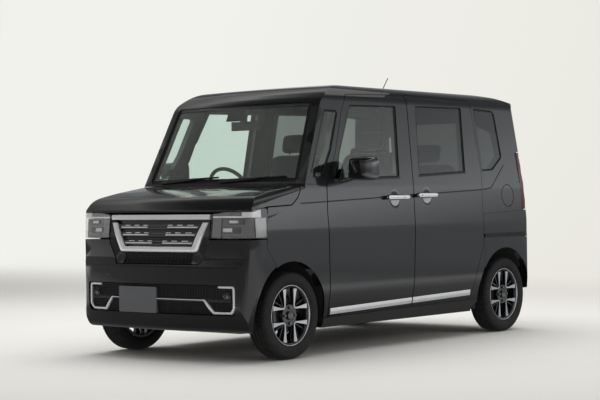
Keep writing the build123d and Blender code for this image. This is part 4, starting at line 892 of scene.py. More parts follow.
# a flush painted cover over the tow eye's hole, with the thin ring of its joint
def makeTowCover():
    look = dict(place=(-0.430, 0.545), radius=0.014668)
    share = np.array([0.0003, 0.4, 0.8, 0.97, 1.0, 1.0]) * look["radius"]
    depth = np.array([0.0002, 0.0002, 0.0002, 0.0004, 0.0012, 0.006])
    a = circle(40)[:, None]
    disc = onNose(look["place"][0] + share * np.cos(a), look["place"][1] + share * np.sin(a))
    disc = disc + depth[None, :, None] * np.array([0.0, 1.0, 0.0])
    dress("front_bumper", [("towCover", [gridPart(disc, closedRows=True)], "blackPearlPaint")], False, 40.0)


# two wiper arms with their blades at the windscreen's foot, the mirror and the dark cover of the sensors at
# its head, and the printed edge
def makeWipers():
    look = dict(sweeps=((-0.52, 0.02), (0.04, 0.56)), bladeHalf=0.006, rodHalf=0.0075,
                cover=((-0.075, 0.075), (1.535, 1.615), (0.0062, 0.045)),
                mirror=((-0.115, -0.80, 1.475), (0.115, -0.775, 1.535)),
                stalk=((-0.012, -0.83, 1.52), (0.012, -0.78, 1.56)), edgeDepth=0.0054,
                edges=(((-0.640, 1.133), (0.640, 1.133), 0.012), ((-0.585, 1.629), (0.585, 1.629), 0.014),
                       ((-0.637, 1.13), (-0.579, 1.632), 0.013), ((0.637, 1.13), (0.579, 1.632), 0.013)))
    bladeRows = [(-1, 0.0), (-0.6, -0.0075), (0.0, -0.010), (0.6, -0.0075), (1, 0.0)]
    rodRows = [(-1, -0.006), (-0.7, -0.0135), (0.7, -0.0135), (1, -0.006)]
    blades, arms = [], []
    for foot, tip in look["sweeps"]:
        line = spaced([(foot + 0.05, 1.141), (tip, 1.158)], 30)
        rod = spaced([(foot, 1.128), (foot + 0.18, 1.138), ((foot + tip) / 2 + 0.05, 1.150)], 24)
        blades.append(stripOn(onScreen, line, look["bladeHalf"], bladeRows))
        arms.append(stripOn(onScreen, rod, look["rodHalf"], rodRows))
    dress("cowl", [("blades", blades, "rubberSeal"), ("arms", arms, "grainedBlack")], False, 30.0)
    edge = [stripOn(onScreen, spaced([start, stop], 40), half, [(-1, look["edgeDepth"]), (1, look["edgeDepth"])])
            for start, stop, half in look["edges"]]
    dress("windscreen", [("sensorCover", [padOn(onScreen, *look["cover"], (12, 8))], "grainedBlack"),
                         ("mirror", [boxPart(*look["mirror"]), boxPart(*look["stalk"])], "cabinPlastic"),
                         ("frit", edge, "seamShadow")], False, 30.0)


makeGrille()
makeIntake()
makeTowCover()
makeWipers()
for side in sides:
    makeHeadlamp(side)
print("nose made")


# a run of strip laid on both flanks and cut where panels meet: rows of node, first Y and last Y
def flankRuns(name, line, halfWidth, section, runs, look, count=60):
    line = np.asarray(line, float)
    for node, low, high in runs:
        y = np.linspace(low, high, count)
        path = stacked(y, np.interp(y, line[:, 0], line[:, 1]))
        for side, label in sides.items():
            sided = f"{node}_{label}" in nodes
            full = f"{node}_{label}" if sided else node
            part = stripOn(onFlank, path, halfWidth, section, side=side)
            obj = addMesh(f"{full}_{name}" if sided else f"{node}_{name}_{label}", *part, bodyOf[full], look)
            sharpen(obj, 36.0)


# the crease below the windows as a flat dark strip of painted shade, the panel line on the rear quarter, the dark
# runner of the sliding door, the belt strips below the glass, and the bright strip at the foot of both doors in two
# facets that meet at a crease; each row gives the line's corners, its half width, its section, the stretch on each
# node and its finish
def makeFlankLines():
    flat = [(-1, 0.003), (-1, -0.0004), (-0.5, -0.0007), (0.5, -0.0007), (1, -0.0004), (1, 0.003)]
    rail = [(-1, 0.003), (-1, -0.0006), (-0.2, -0.0009), (-0.15, -0.0024), (0.15, -0.0024), (0.2, -0.0009),
            (1, -0.0006), (1, 0.003)]
    facets = [(-1, 0.004), (-1, -0.0022), (-0.9, -0.0032), (-0.1, -0.0042), (0.0, -0.0046), (0.1, -0.004),
              (0.9, -0.0014), (1, -0.0006), (1, 0.004)]
    belt = crowned(-0.0012, 0.006, 0.001)
    look = dict(
        # the crease is painted shade: a flat dark strip where the real groove lies in shade
        crease=([(-1.107, 0.981), (-0.831, 0.990), (1.037, 1.060), (1.156, 1.073), (1.369, 1.247)], 0.0042, flat,
                [("front_wing", -1.100, -0.836), ("front_door", -0.822, 0.151), ("sliding_door", 0.163, 1.026),
                 ("body_shell", 1.040, 1.366)], "seamShadow"),
        quarterSeam=([(1.028, 0.883), (1.580, 0.901)], 0.0016, flat, [("body_shell", 1.036, 1.578)], "seamShadow"),
        runner=([(1.030, 0.722), (1.585, 0.722)], 0.0135, rail, [("body_shell", 1.034, 1.586)], "seamShadow"),
        sillStrip=([(-0.80, 0.2775), (0.0, 0.296), (0.855, 0.3155)], 0.019995, facets,
                   [("front_door", -0.800, 0.112), ("sliding_door", 0.126, 0.846)], "brightTrim"),
        beltTrim=([(-0.74, 1.1285), (0.012, 1.1475)], 0.0075, belt, [("front_door", -0.735, 0.010)],
                  "grainedBlack"),
        beltTrim2=([(0.232, 1.158), (0.842, 1.1865)], 0.0075, belt, [("sliding_door", 0.234, 0.838)],
                   "grainedBlack"))
    for name, row in look.items():
        flankRuns(name, *row)


# dark bands inside the windows' outlines, laid just outside the glass: corners, and the width along each side
def makeWindowBands():
    look = dict(depth=0.0042, lip=0.0006, outlines={
        "front_door": ([(-0.742, 1.134), (0.004, 1.155), (0.048, 1.643), (-0.480, 1.632), (-0.640, 1.330)],
                       (0.006, 0.024, 0.010, 0.012, 0.012)),
        "sliding_door": ([(0.240, 1.165), (0.832, 1.192), (0.868, 1.658), (0.284, 1.650)],
                         (0.006, 0.022, 0.010, 0.012)),
        "rear_quarter": ([(1.058, 1.196), (1.205, 1.203), (1.352, 1.300), (1.310, 1.648), (1.030, 1.658)],
                         (0.012, 0.012, 0.014, 0.012, 0.012)),
        "front_quarter": ([(-0.985, 1.150), (-0.862, 1.136), (-0.735, 1.322), (-0.612, 1.592), (-0.762, 1.592)],
                          (0.012, 0.010, 0.010, 0.014, 0.014))})
    section = [(-1, look["depth"] + look["lip"]), (-1, look["depth"]), (1, look["depth"]),
               (1, look["depth"] + look["lip"])]
    for side, label in sides.items():
        for window, (corners, widths) in look["outlines"].items():
            node = f"{window}_glass_{label}"
            corners = np.array(corners)
            for k, (a, b, width) in enumerate(zip(corners, np.roll(corners, -1, axis=0), widths)):
                along = (b - a) / np.linalg.norm(b - a)
                inward = np.array([-along[1], along[0]]) * width / 2
                part = stripOn(onFlank, spaced([a + inward, b + inward], 24), width / 2, section, side=side)
                addMesh(f"{node}_sash{k}", *part, bodyOf[node], "seamShadow")


# a disc laid on a flank: shares of the radius, two half widths, powers that square it off, and the rise outward
# at each share
def discOn(side, centre, half, powers, share, rise):
    a = circle(48)[:, None]
    y = centre[0] + half[0] * share * softSign(np.cos(a), powers[0])
    z = centre[1] + half[1] * share * softSign(np.sin(a), powers[1])
    return gridPart(onFlank(y, z, 0.0, side=side) + rise[None, :, None] * np.array([side, 0.0, 0.0]), closedRows=True)


# a pull handle: a rounded bright bar on the CAD bar's place with a lock button, over a bright round dish; the
# bar keeps its section along its middle and shrinks at both ends by a root of one less a high power
def makeHandle(node, side, y0, y1, z, dish):
    look = dict(inner=0.7375, outer=0.7528, half=0.0135, over=0.0015, button=0.0045, baseHalf=0.0195, baseOver=0.022,
                dishDepth=0.0072, lockFront=0.075, lockRear=0.045, lockSunk=0.0003, endPowers=(14, 0.25),
                depthAtEnds=(0.45, 0.55), heightAtEnds=(0.25, 0.75), dishLift=0.0004, baseCrown=(0.0022, 0.0032, 6))
    t = np.linspace(0.0, 1.0, 26)
    y = y0 - look["over"] + (y1 - y0 + 2 * look["over"]) * t
    power, root = look["endPowers"]
    ends = ((1 - np.abs(2 * t - 1) ** power) ** root)[:, None]
    (least, more), (low, rise) = look["depthAtEnds"], look["heightAtEnds"]
    around = circle(20)
    middle, reach = (look["inner"] + look["outer"]) / 2, (look["outer"] - look["inner"]) / 2
    x = middle + reach * softSign(np.cos(around), 0.5) * (least + more * ends)
    bar = stacked(side * x, y[:, None], z + look["half"] * softSign(np.sin(around), 0.7) * (low + rise * ends))
    lockY = y0 + look["lockRear"] if y0 > 0.1 else y1 - look["lockFront"]
    lock = turnedPart([(0.0, look["button"]), (0.0012, look["button"]), (0.0016, 0.0028), (0.0017, 0.0001)],
                      np.array([side * (look["outer"] - look["lockSunk"]), lockY, z]), side, 20)
    share = np.linspace(0.0002, 1.0, 12)
    bowl = look["dishLift"] - look["dishDepth"] * (1 - share ** 2)
    cup = discOn(side, dish, (dish[2], dish[2]), (1.0, 1.0), share, bowl)
    high, fall, power = look["baseCrown"]
    share = np.linspace(0.0002, 1.0, 6)
    base = discOn(side, ((y0 + y1) / 2, z), ((y1 - y0 + look["baseOver"]) / 2, look["baseHalf"]), (0.6, 0.8), share,
                  high - fall * share ** power)
    dress(node, [("bar", cappedTube(bar), "brightTrim"), ("lock", [lock], "glossBlack"),
                 ("dish", [cup], "dishSilver"), ("base", [base], "glossBlack")], False)


# a door mirror: a rounded block whose sections are superellipses, cut flat at the back for its glass, with a
# bright line and an arm that rises as a square
def makeMirror(side):
    look = dict(low=(0.7505, -0.676, 1.1235), high=(0.9345, -0.5365, 1.2815), power=0.40, glassInset=0.011,
                glassShare=0.86, taper=0.10, arm=((0.716, -0.640, 1.1225), (0.800, -0.600, 1.145)), armRise=0.012,
                armHalf=((0.042, 0.0135), (0.030, 0.0175)), line=((0.815, 0.915), (1.1765, 1.1815)),
                lineDepths=(0.0, 0.008), round=(0.34, 0.62), cut=(0.62, 0.81, 0.2346), paneLift=0.0012,
                face=(0.80, 0.006, 2.2))
    low, high = np.array(look["low"]), np.array(look["high"])
    middle, half = (low + high) / 2, (high - low) / 2
    u = np.linspace(-math.pi / 2, math.pi / 2, 25)
    v = circle(56)[:, None]
    cu, su = softSign(np.cos(u), look["round"][0]), softSign(np.sin(u), look["round"][1])
    sideways, upward = softSign(np.cos(v), look["power"]), softSign(np.sin(v), look["power"])
    size = cu * (1.0 - look["taper"] * np.clip(-su, 0, 1))
    flatAt, span, shift = look["cut"]
    shell = stacked(side * (middle[0] + half[0] * sideways * size),
                    middle[1] + half[1] * (np.minimum(su, flatAt) / span + shift),
                    middle[2] + half[2] * upward * size)
    share = np.linspace(0.02, 1.0, 8) * look["glassShare"]
    pane = stacked(side * (middle[0] + (half[0] - look["glassInset"]) * sideways * share),
                   float(shell[..., 1].max()) + look["paneLift"],
                   middle[2] + (half[2] - look["glassInset"]) * upward * share)
    t = np.linspace(0.0, 1.0, 14)[:, None]
    foot, head = (np.array(place) * (side, 1, 1) for place in look["arm"])
    centre = foot + (head - foot) * t + np.array([0, 0, look["armRise"]]) * t * t
    (width0, depth0), (width1, depth1) = look["armHalf"]
    ring = circle(20)
    arm = centre[:, None] + stacked(0 * ring, (width0 + (width1 - width0) * t) * softSign(np.cos(ring), 0.8),
                                    (depth0 + (depth1 - depth0) * t) * softSign(np.sin(ring), 0.8))

    # places on the shell's front: depth runs back from a face that bends with the square of the way across
    def onShell(a, b, depth):
        forward, lift, bend = look["face"]
        return stacked(side * a, middle[1] - half[1] * forward + depth - lift + (a - middle[0]) ** 2 * bend, b)

    node = f"mirror_{sides[side]}"
    dress(node, [("shell", [gridPart(shell, closedRows=True)], "glossBlack"),
                 ("arm", [gridPart(arm, closedColumns=True)], "glossBlack"),
                 ("line", [padOn(onShell, *look["line"], look["lineDepths"], (14, 3))], "lampUnit")], True, 50.0)
    dress(node, [("pane", [gridPart(pane, closedRows=True)], "brightChrome")], False)


makeFlankLines()
makeWindowBands()
for side, label in sides.items():
    makeHandle(f"front_door_{label}", side, -0.190, 0.075, 1.013, (-0.077, 1.009, 0.056))
    makeHandle(f"sliding_door_{label}", side, 0.168, 0.416, 1.025, (0.310, 1.023, 0.056))
    makeMirror(side)
print("sides made")


# a crowned pad: a flattened superellipsoid whose sides pull in between its corners, with bolsters that rise
# near both edges and sewn channels pressed in as narrow bell curves; frame is centre and three half axes
def padSurface(frame, look, rows=64, columns=96):
    centre, along, up, out = (np.array(v, float) for v in frame)
    a = np.linspace(-math.pi / 2, math.pi / 2, rows)[:, None]
    b = circle(columns)[None]
    ring = softSign(np.cos(a), look["edge"])
    u, v = ring * softSign(np.cos(b), look["corner"]), ring * softSign(np.sin(b), look["corner"])
    w = softSign(np.sin(a), look["face"]) + 0 * u
    front = np.clip(w, 0, 1)
    w = w + front * look["bolster"] * (np.exp(-((np.abs(u) - 0.84) / 0.13) ** 2) - 0.5 * np.exp(-(u / 0.5) ** 2))
    for place in look["across"]:
        w = w - front * look["press"] * np.exp(-((v - place) / look["channel"]) ** 2) * (np.abs(u) < 0.74)
    for place in look["down"]:
        w = w - front * look["press"] * np.exp(-((np.abs(u) - place) / (look["channel"] * 0.8)) ** 2)
    u = u * (1 - look["pull"] * (1 - v * v))
    v = v * (1 - look["pull"] * (1 - u * u))
    points = centre + u[..., None] * along + v[..., None] * up + w[..., None] * out
    return gridPart(points, closedColumns=True)


# the welt sewn round a pad's rim: a thin tube on the same outline
def padWelt(frame, look, radius=0.0032, columns=160):
    centre, along, up, out = (np.array(v, float) for v in frame)
    b = circle(columns)[:, None]
    u, v = softSign(np.cos(b), look["corner"]), softSign(np.sin(b), look["corner"])
    u, v = u * (1 - look["pull"] * (1 - v * v)), v * (1 - look["pull"] * (1 - u * u))
    line = centre + (u * along + v * up) * 1.002
    outward = line - centre
    outward /= np.linalg.norm(outward, axis=1)[:, None]
    c = circle(8)[None, :, None]
    tube = line[:, None] + radius * (np.cos(c) * outward[:, None] + np.sin(c) * out / np.linalg.norm(out))
    return gridPart(tube, closedRows=True, closedColumns=True)


# one seat: a cushion, a backrest that leans back and a head pad on two rods, in cloth with their welts, over a
# hard base; heights are of the cushion's top and the backrest's top
def makeSeat(node, name, x, half, yFront, yBack, cushionZ, topZ, headX):
    look = dict(lean=(0.15, 0.04), cushion=(0.016, 0.062, 0.012, 0.006, 0.052), rest=(0.042, 0.985, 0.05, 0.047),
                head=(0.108, 0.072, 0.118, 0.068, 0.036), fill=0.8, baseInset=(0.045, 0.065, 0.025), baseFoot=0.2415,
                baseDrop=0.108, rod=(0.05, 0.098, 0.005), rodRadius=0.006, rodLength=0.05)
    slope = np.array([0.0, look["lean"][0], topZ - cushionZ + look["lean"][1]])
    lean = slope / np.linalg.norm(slope)
    face = np.array([0.0, -lean[2], lean[1]])
    cushion = dict(edge=0.42, corner=0.30, face=0.85, bolster=0.32, pull=0.02, press=0.22, channel=0.035,
                   across=(-0.35, 0.25), down=(0.7,))
    rest = dict(cushion, across=(-0.55, 0.1, 0.62), bolster=0.4)
    head = dict(cushion, corner=0.42, bolster=0.0, across=(), down=(), pull=0.03)
    forward, drop, shorter, tilt, thick = look["cushion"]
    behind, share, spare, deep = look["rest"]
    headBack, headUp, headHalf, headTall, headDeep = look["head"]
    pads = [("cushion", ([x, (yFront + yBack) / 2 - forward, cushionZ - drop], (half, 0, 0),
                         (0, (yBack - yFront) / 2 - shorter, tilt), (0, 0, thick)), cushion),
            ("backrest", ([x, yBack + behind, (topZ + cushionZ - spare) / 2], (half * share, 0, 0),
                          lean * (topZ - cushionZ + spare) / 2, face * deep), rest),
            ("head0", ([headX, yBack + headBack, topZ + headUp], (headHalf, 0, 0), lean * headTall, face * headDeep),
             head)]
    for label, frame, padLook in pads:
        pad = addMesh(f"{node}_{name}_{label}", *padSurface(frame, padLook), bodyOf[node], "seatCloth")
        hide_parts(node)
        addMesh(f"{node}_{name}_{label}Welt", *padWelt(frame, padLook), bodyOf[node], "seatThread")
    side, front, back = look["baseInset"]
    base = [boxPart((x - half + side, yFront + front, look["baseFoot"]),
                    (x + half - side, yBack - back, cushionZ - look["baseDrop"]))]
    c, t = circle(12), np.linspace(0, 1, 3)[:, None, None]
    apart, behind, drop = look["rod"]
    ring = stacked(np.cos(c), np.sin(c), 0.0) * look["rodRadius"]
    for way in (-1, 1):
        foot = np.array([headX + way * apart, yBack + behind, topZ - drop])
        base.append(gridPart(foot + t * lean * look["rodLength"] + ring, closedColumns=True))
    dress(node, [(f"{name}Base", base, "seatSideTrim")], True, 30.0)


# the wheel: a thick rim, a padded hub and three spokes, all square to the column
def makeSteeringWheel():
    look = dict(centre=(-0.340, -0.560, 1.070), radius=0.175, grip=0.0135, tilt=62.0, spokes=(0, 180, 270),
                spokeHalf=(0.016, 0.0055), spokeReach=(0.045, 0.168), spokeDrop=0.006, hub=(0.062, 0.055, 0.022),
                hubDrop=0.012)
    hubPad = dict(edge=0.4, corner=0.6, face=0.7, bolster=0, pull=0, press=0, channel=1, across=(), down=())
    tilt = math.radians(look["tilt"])
    right, down = np.array([1.0, 0.0, 0.0]), np.array([0.0, -math.cos(tilt), math.sin(tilt)])
    axis = np.array([0.0, math.sin(tilt), math.cos(tilt)])
    centre = np.array(look["centre"])
    a, b, c = circle(72)[:, None], circle(16)[None, :, None], circle(12)[None, :, None]
    spread = (np.cos(a) * right + np.sin(a) * down)[:, None]
    rim = centre + (look["radius"] + look["grip"] * np.cos(b)) * spread + look["grip"] * np.sin(b) * axis
    hubFrame = [way * half for way, half in zip((right, down, axis), look["hub"])]
    hub = padSurface((centre - axis * look["hubDrop"], *hubFrame), hubPad, 24, 48)
    t = np.linspace(*look["spokeReach"], 10)[:, None, None]
    wide, deep = look["spokeHalf"]
    spokes = []
    for angle in np.radians(look["spokes"]):
        way = math.cos(angle) * right + math.sin(angle) * down
        square = math.sin(angle) * right - math.cos(angle) * down
        section = wide * softSign(np.cos(c), 0.6) * square + (deep * np.sin(c) - look["spokeDrop"]) * axis
        spokes.append(gridPart(centre + t * way + section, closedColumns=True))
    dress("steering_wheel", [("rim", [gridPart(rim, True, True)], "seatSideTrim"), ("hub", [hub], "cabinPlastic"),
                             ("spokes", spokes, "lampReflector", "alloy")], True, 40.0)


# dashboard details: a pale strip, three vents, a screen and an instrument hood, all just proud of the CAD dash
def makeDashboard():
    look = dict(strip=((-0.555, -0.7535, 0.985), (0.555, -0.744, 1.0)), vents=(-0.13, 0.19, 0.5),
                vent=((-0.045, -0.7515, 0.93), (0.045, -0.742, 0.97)),
                screen=((-0.075, -0.7505, 0.905), (0.135, -0.737, 1.03)), hood=(-0.34, 0.15, 1.0, 0.066),
                hoodReach=(-0.80, -0.742), hoodFoot=0.985)
    vents = [boxPart(*(np.array(corner) + (x, 0, 0) for corner in look["vent"])) for x in look["vents"]]
    t = np.linspace(-math.pi / 2, math.pi / 2, 20)
    middle, half, foot, rise = look["hood"]
    x, z = middle + half * np.sin(t), foot + rise * np.cos(t) ** 0.5
    back, front = look["hoodReach"]
    shell = np.stack([stacked(x, back, look["hoodFoot"]), stacked(x, back, z), stacked(x, front, z),
                      stacked(x, front, look["hoodFoot"])], 1)
    dress("dashboard", [("strip", [boxPart(*look["strip"])], "lampReflector", "black_plastic"),
                        ("screen", [boxPart(*look["screen"]), *vents], "glossBlack"),
                        ("hood", [gridPart(shell, closedColumns=True)], "cabinPlastic")], False, 30.0)


for node, x, headX, *size in (("front_seats", 0.34, 0.34, 0.2485, -0.43, 0.06, 0.70, 1.34),
                              ("rear_seat", 0.2845, 0.30, 0.2835, 0.38, 0.82, 0.66, 1.26)):
    for side, label in sides.items():
        makeSeat(node, f"{label}Seat", side * x, *size, side * headX)
makeSteeringWheel()
makeDashboard()
print("cabin made")


# a tail lamp: a thick red cover over a dark tray, two glowing guides, a pale lower unit and ribs between;
# angles are in degrees round the corner, and each pair of depths is a front and a back
def makeTailLamp(side):
    look = dict(angles=(6.2, 50.5), z=(0.9105, 1.3395), cover=(0.0, 0.0035), tray=(0.0165, 0.0185),
                guides=(17.0, 34.0), guideHalf=2.2, guideZ=(0.955, 1.31), guide=(0.0105, 0.0145),
                unitAngles=(9.0, 44.0), unitZ=(0.922, 0.945), unit=(0.0075, 0.0145),
                ribAngles=(9.0, 46.0), ribs=(0.965, 1.30, 14), ribRise=0.0035, rib=(0.0112, 0.0155))

    def pad(angles, z, depths, counts):
        return padOn(onTailCorner, angles, z, depths, counts, side=side)

    node = f"tail_lamp_{sides[side]}"
    a, b = np.meshgrid(np.linspace(*look["angles"], 24), np.linspace(*look["z"], 40), indexing="ij")
    cover = closedShell(*(onTailCorner(a, b, depth, side) for depth in look["cover"]))
    a, b = a[1:-1, 1:-1], b[1:-1, 1:-1]
    tray = closedShell(*(onTailCorner(a, b, depth, side) for depth in look["tray"]))
    dress(node, [("cover", [cover], "redLens"), ("tray", [tray], "lampHousing")], True, 30.0)
    half, rise = look["guideHalf"], look["ribRise"]
    guides = [pad((at - half, at + half), look["guideZ"], look["guide"], (5, 30)) for at in look["guides"]]
    unit = pad(look["unitAngles"], look["unitZ"], look["unit"], (12, 3))
    ribs = [pad(look["ribAngles"], (z, z + rise), look["rib"], (10, 2)) for z in np.linspace(*look["ribs"])]
    dress(node, [("guides", guides, "tailGuide"), ("unit", [unit], "lampUnit"), ("ribs", ribs, "lampReflector")],
          False, 30.0)


# the gate's fittings: a lip along the roof's end with a high lamp, a bright bar over the plate recess,
# a grip under it, a wiper with its arm, and the plate's lamps; the lip draws in by a high power of the way out
def makeTailgateFittings():
    look = dict(half=0.594, front=1.555, drawn=0.06, foot=(1.575, 1.45),
                lamp=((-0.105, 1.6515, 1.690), (0.105, 1.6549, 1.702)),
                bar=(-0.40, 0.40, 0.9985), barHalf=0.011, barDepths=(-0.007, 0.004, 0.003),
                grip=((-0.36, 0.36), (0.962, 0.986), (-0.0012, 0.003)),
                plateLamps=(-0.10, 0.10), plateLamp=(0.02, (0.9735, 0.9815), (-0.0028, 0.0)),
                arm=((0.0, 1.118), (0.02, 1.17), (-0.24, 1.235)), armHalf=0.0075, armDepths=(-0.0118, -0.004, 0.002),
                blade=((-0.44, 1.205), (-0.08, 1.255)), bladeHalf=0.0065,
                boss=((-0.022, 0.022), (1.096, 1.14), (-0.0125, 0.002)))
    lip = np.array([(-0.003, 1.560), (0.0012, 1.600), (-0.002, 1.636), (-0.008, 1.651), (-0.016, 1.6545),
                    (-0.044, 1.6545), (-0.052, 1.649), (-0.058, 1.610), (-0.055, 1.570)])
    bladeRows = [(-1, 0.0), (-0.7, -0.0085), (0, -0.0105), (0.7, -0.0085), (1, 0.0)]
    x = np.linspace(-look["half"], look["half"], 72)
    top = castOut(stacked(x, *look["foot"]), (0.0, 0.0, 1.0), 0.0)[:, 2]
    sweep = 1 - look["drawn"] * (np.abs(x) / look["half"]) ** 12
    back = look["front"] + (lip[:, 1] - look["front"]) * sweep[:, None]
    points = stacked(x[:, None], back, top[:, None] + lip[:, 0])
    bar = stripOn(onTail, level(*look["bar"]), look["barHalf"], crowned(*look["barDepths"]))
    recess = padOn(onTail, *look["grip"], (24, 4))
    half, *rest = look["plateLamp"]
    lamps = [padOn(onTail, (at - half, at + half), *rest, (4, 3)) for at in look["plateLamps"]]
    arm = stripOn(onTail, spaced(look["arm"], 30), look["armHalf"], crowned(*look["armDepths"]))
    blade = stripOn(onTail, spaced(look["blade"], 24), look["bladeHalf"], bladeRows)
    boss = padOn(onTail, *look["boss"], (8, 8))
    dress("tailgate", [("spoiler", cappedTube(points, True), "blackPearlPaint"), ("bar", [bar], "brightChrome"),
                       ("grip", [recess], "grainedBlack"), ("plateLamps", lamps, "lampUnit"),
                       ("highLamp", [boxPart(*look["lamp"])], "redLens"), ("wiper", [arm, boss], "grainedBlack"),
                       ("wiperBlade", [blade], "rubberSeal")], False, 34.0)


# rear window's heater lines and printed edge, just inside the glass
def makeRearWindow():
    look = dict(heater=(1.20, 1.55, 12), heaterHalf=0.0006, heaterDepth=0.0058, edgeDepth=0.0052,
                edges=((((-0.548, 1.1545), (0.548, 1.1545)), 40, 0.009),
                       (((-0.533, 1.5935), (0.533, 1.5935)), 40, 0.009),
                       (((-0.546, 1.155), (-0.529, 1.593)), 24, 0.010),
                       (((0.546, 1.155), (0.529, 1.593)), 24, 0.010)))
    lines = [stripOn(onTail, level(-0.50, 0.50, z, 30), look["heaterHalf"],
                     [(-1, look["heaterDepth"]), (1, look["heaterDepth"])]) for z in np.linspace(*look["heater"])]
    dress("tailgate_glass", [("heater", lines, "lampReflector", "black_plastic")], False, 30.0)
    bands = [stripOn(onTail, spaced(line, count), half, [(-1, look["edgeDepth"]), (1, look["edgeDepth"])])
             for line, count, half in look["edges"]]
    dress("tailgate_glass", [("band", bands, "seamShadow")], False, 30.0)


# rear bumper: reflectors, a dark lower insert and a crease
def makeRearBumper():
    look = dict(marks=(-0.60, 0.60), mark=(0.045, (0.43, 0.455), (-0.0022, 0.002)),
                insert=((-0.48, 0.48), (0.27, 0.375), (-0.0004, 0.003)), crease=(-0.62, 0.62, 0.60), creaseHalf=0.004)
    creaseRows = [(-1, 0.003), (-1, -0.0002), (0, -0.0005), (1, -0.0002), (1, 0.003)]
    half, *rest = look["mark"]
    marks = [padOn(onTail, (at - half, at + half), *rest, (8, 3)) for at in look["marks"]]
    insert = padOn(onTail, *look["insert"], (40, 8))
    crease = stripOn(onTail, level(*look["crease"], 50), look["creaseHalf"], creaseRows)
    dress("rear_bumper", [("reflectors", marks, "redLens"), ("insert", [insert], "grainedBlack"),
                          ("crease", [crease], "blackPearlPaint")], False, 34.0)


for side in sides:
    makeTailLamp(side)
makeTailgateFittings()
makeRearWindow()
makeRearBumper()
print("rear made")


# fills a colour ramp with greys: rows of position and brightness, scaled to 0 to 1
def fillRamp(ramp, rows, tint=(1.0, 1.0, 0.985)):
    steps = ramp.color_ramp.elements
    for _ in rows[2:]:
        steps.new(0.5)
    for step, (at, value) in zip(steps, rows):
        step.position = at / rows[-1][0]
        step.color = (*(value * part for part in tint), 1.0)


# a floor that curves up into a backdrop, one profile carried across; to camera and clear rays it fades
# with distance from shadowed paper into a pale backdrop whose glow is painted lighter on the left than on the right;
# mirror rays see painted light on it: a painted shadow dark beside the car, painted light further out that dims far
# ahead of it, and a painted bright band low on the far wall
def makeStage():
    look = dict(width=46.0, front=-22.0, back=17.0, rise=14.0, radius=6.0, low=(0.70, 0.685, 0.65),
                high=(0.74, 0.73, 0.695), backdropPaintedLight=(0.88, 0.885, 0.84), backdropPaintedShade=(0.79, 0.765, 0.70),
                near=(0.15, 0.15, 0.15), lit=(1.0, 1.0, 1.0), far=(1.5, 9.0), side=(-16.0, 2.0), beside=(1.2, 2.7),
                before=(-1.9, -3.6), ahead=(-8.0, -4.0, 0.25, 1.0), reach=(4.0, 15.0, 0.5, 1.3),
                band=[(0.0, 0.50), (0.9, 0.48), (1.9, 0.52), (2.9, 1.45), (3.6, 1.35), (4.6, 0.85), (6.0, 0.5),
                      (8.5, 0.3), (14.0, 0.10)])
    turn = np.linspace(0.0, math.pi / 2, 24)
    start, r = look["back"] - look["radius"], look["radius"]
    bend = np.stack([start + r * np.sin(turn), r - r * np.cos(turn)], 1)
    profile = np.concatenate([[[look["front"], 0.0], [start, 0.0]], bend[1:], [[look["back"], look["rise"]]]])
    x = np.linspace(-look["width"] / 2, look["width"] / 2, 5)[:, None]
    material, tree, shader = newMaterial("studioPaper", Roughness=0.75, Specular_IOR_Level=0.2)
    floor = meshObject("studioFloor", *gridPart(stacked(x, profile[:, 0], profile[:, 1])), material)

    # a node's output stretched from one range to another
    def ranged(node, out, start, stop, low=0.0, high=1.0, **settings):
        ends = {"From Min": start, "From Max": stop, "To Min": low, "To Max": high}
        stretch = addNode(tree, "MapRange", ends, **settings)
        wire(tree, (node, out, stretch, "Value"))
        return stretch

    # two shaders mixed by a node's output
    def mixed(node, out, first, second):
        mix = addNode(tree, "MixShader")
        wire(tree, (node, out, mix, 0), (first, 0, mix, 1), (second, 0, mix, 2))
        return mix

    noise = addNode(tree, "TexNoise", {"Scale": 0.9, "Detail": 5.0})
    place, split, rays = (addNode(tree, kind) for kind in ("TexCoord", "SeparateXYZ", "LightPath"))
    wire(tree, (place, "Object", noise, "Vector"), (place, "Object", split, "Vector"))
    shadeBy(tree, noise, "Fac", look["low"], look["high"], shader)
    far = ranged(split, "Y", *look["far"], interpolation_type="SMOOTHSTEP")
    glow, wall, near, lit = (addNode(tree, "Emission") for _ in range(4))
    # the backdrop's glow is painted lighter on the left of the view and darker on its right
    shadeBy(tree, ranged(split, "X", *look["side"]), "Result", look["backdropPaintedLight"], look["backdropPaintedShade"], glow, "Color")
    clear, both, away, clearOf = (addNode(tree, "Math", operation=way)
                                  for way in ("MAXIMUM", "MULTIPLY", "ABSOLUTE", "MAXIMUM"))
    only = addNode(tree, "Math", operation="SUBTRACT", use_clamp=True)
    band = addNode(tree, "ValToRGB")
    fillRamp(band, look["band"], (0.95, 1.0, 1.04))
    # near is a painted shadow on the floor beside the car and lit is painted light further out; mirror rays alone see
    # them
    near.inputs["Color"].default_value = (*look["near"], 1.0)
    lit.inputs["Color"].default_value = (*look["lit"], 1.0)
    wire(tree, (rays, "Is Camera Ray", clear, 0), (rays, "Is Transmission Ray", clear, 1), (clear, "Value", both, 0),
         (far, "Result", both, 1), (ranged(split, "Z", 0.0, look["rise"]), "Result", band, "Fac"),
         (band, "Color", wall, "Color"), (ranged(split, "X", *look["reach"]), "Result", wall, "Strength"),
         (split, "X", away, 0), (ranged(away, "Value", *look["beside"]), "Result", clearOf, 0),
         (ranged(split, "Y", *look["before"]), "Result", clearOf, 1),
         (ranged(split, "Y", *look["ahead"]), "Result", lit, "Strength"),
         (rays, "Is Glossy Ray", only, 0), (rays, "Is Transmission Ray", only, 1))
    mirrored = mixed(far, "Result", mixed(clearOf, "Value", near, lit), wall)
    last = mixed(only, "Value", mixed(both, "Value", shader, glow), mirrored)
    wire(tree, (last, "Shader", tree.nodes["Material Output"], "Surface"))


# sets an object's own axes and place
def orient(obj, right, up, back, place):
    obj.matrix_world = Matrix([(right[i], up[i], back[i], place[i]) for i in range(3)] + [(0.0, 0.0, 0.0, 1.0)])


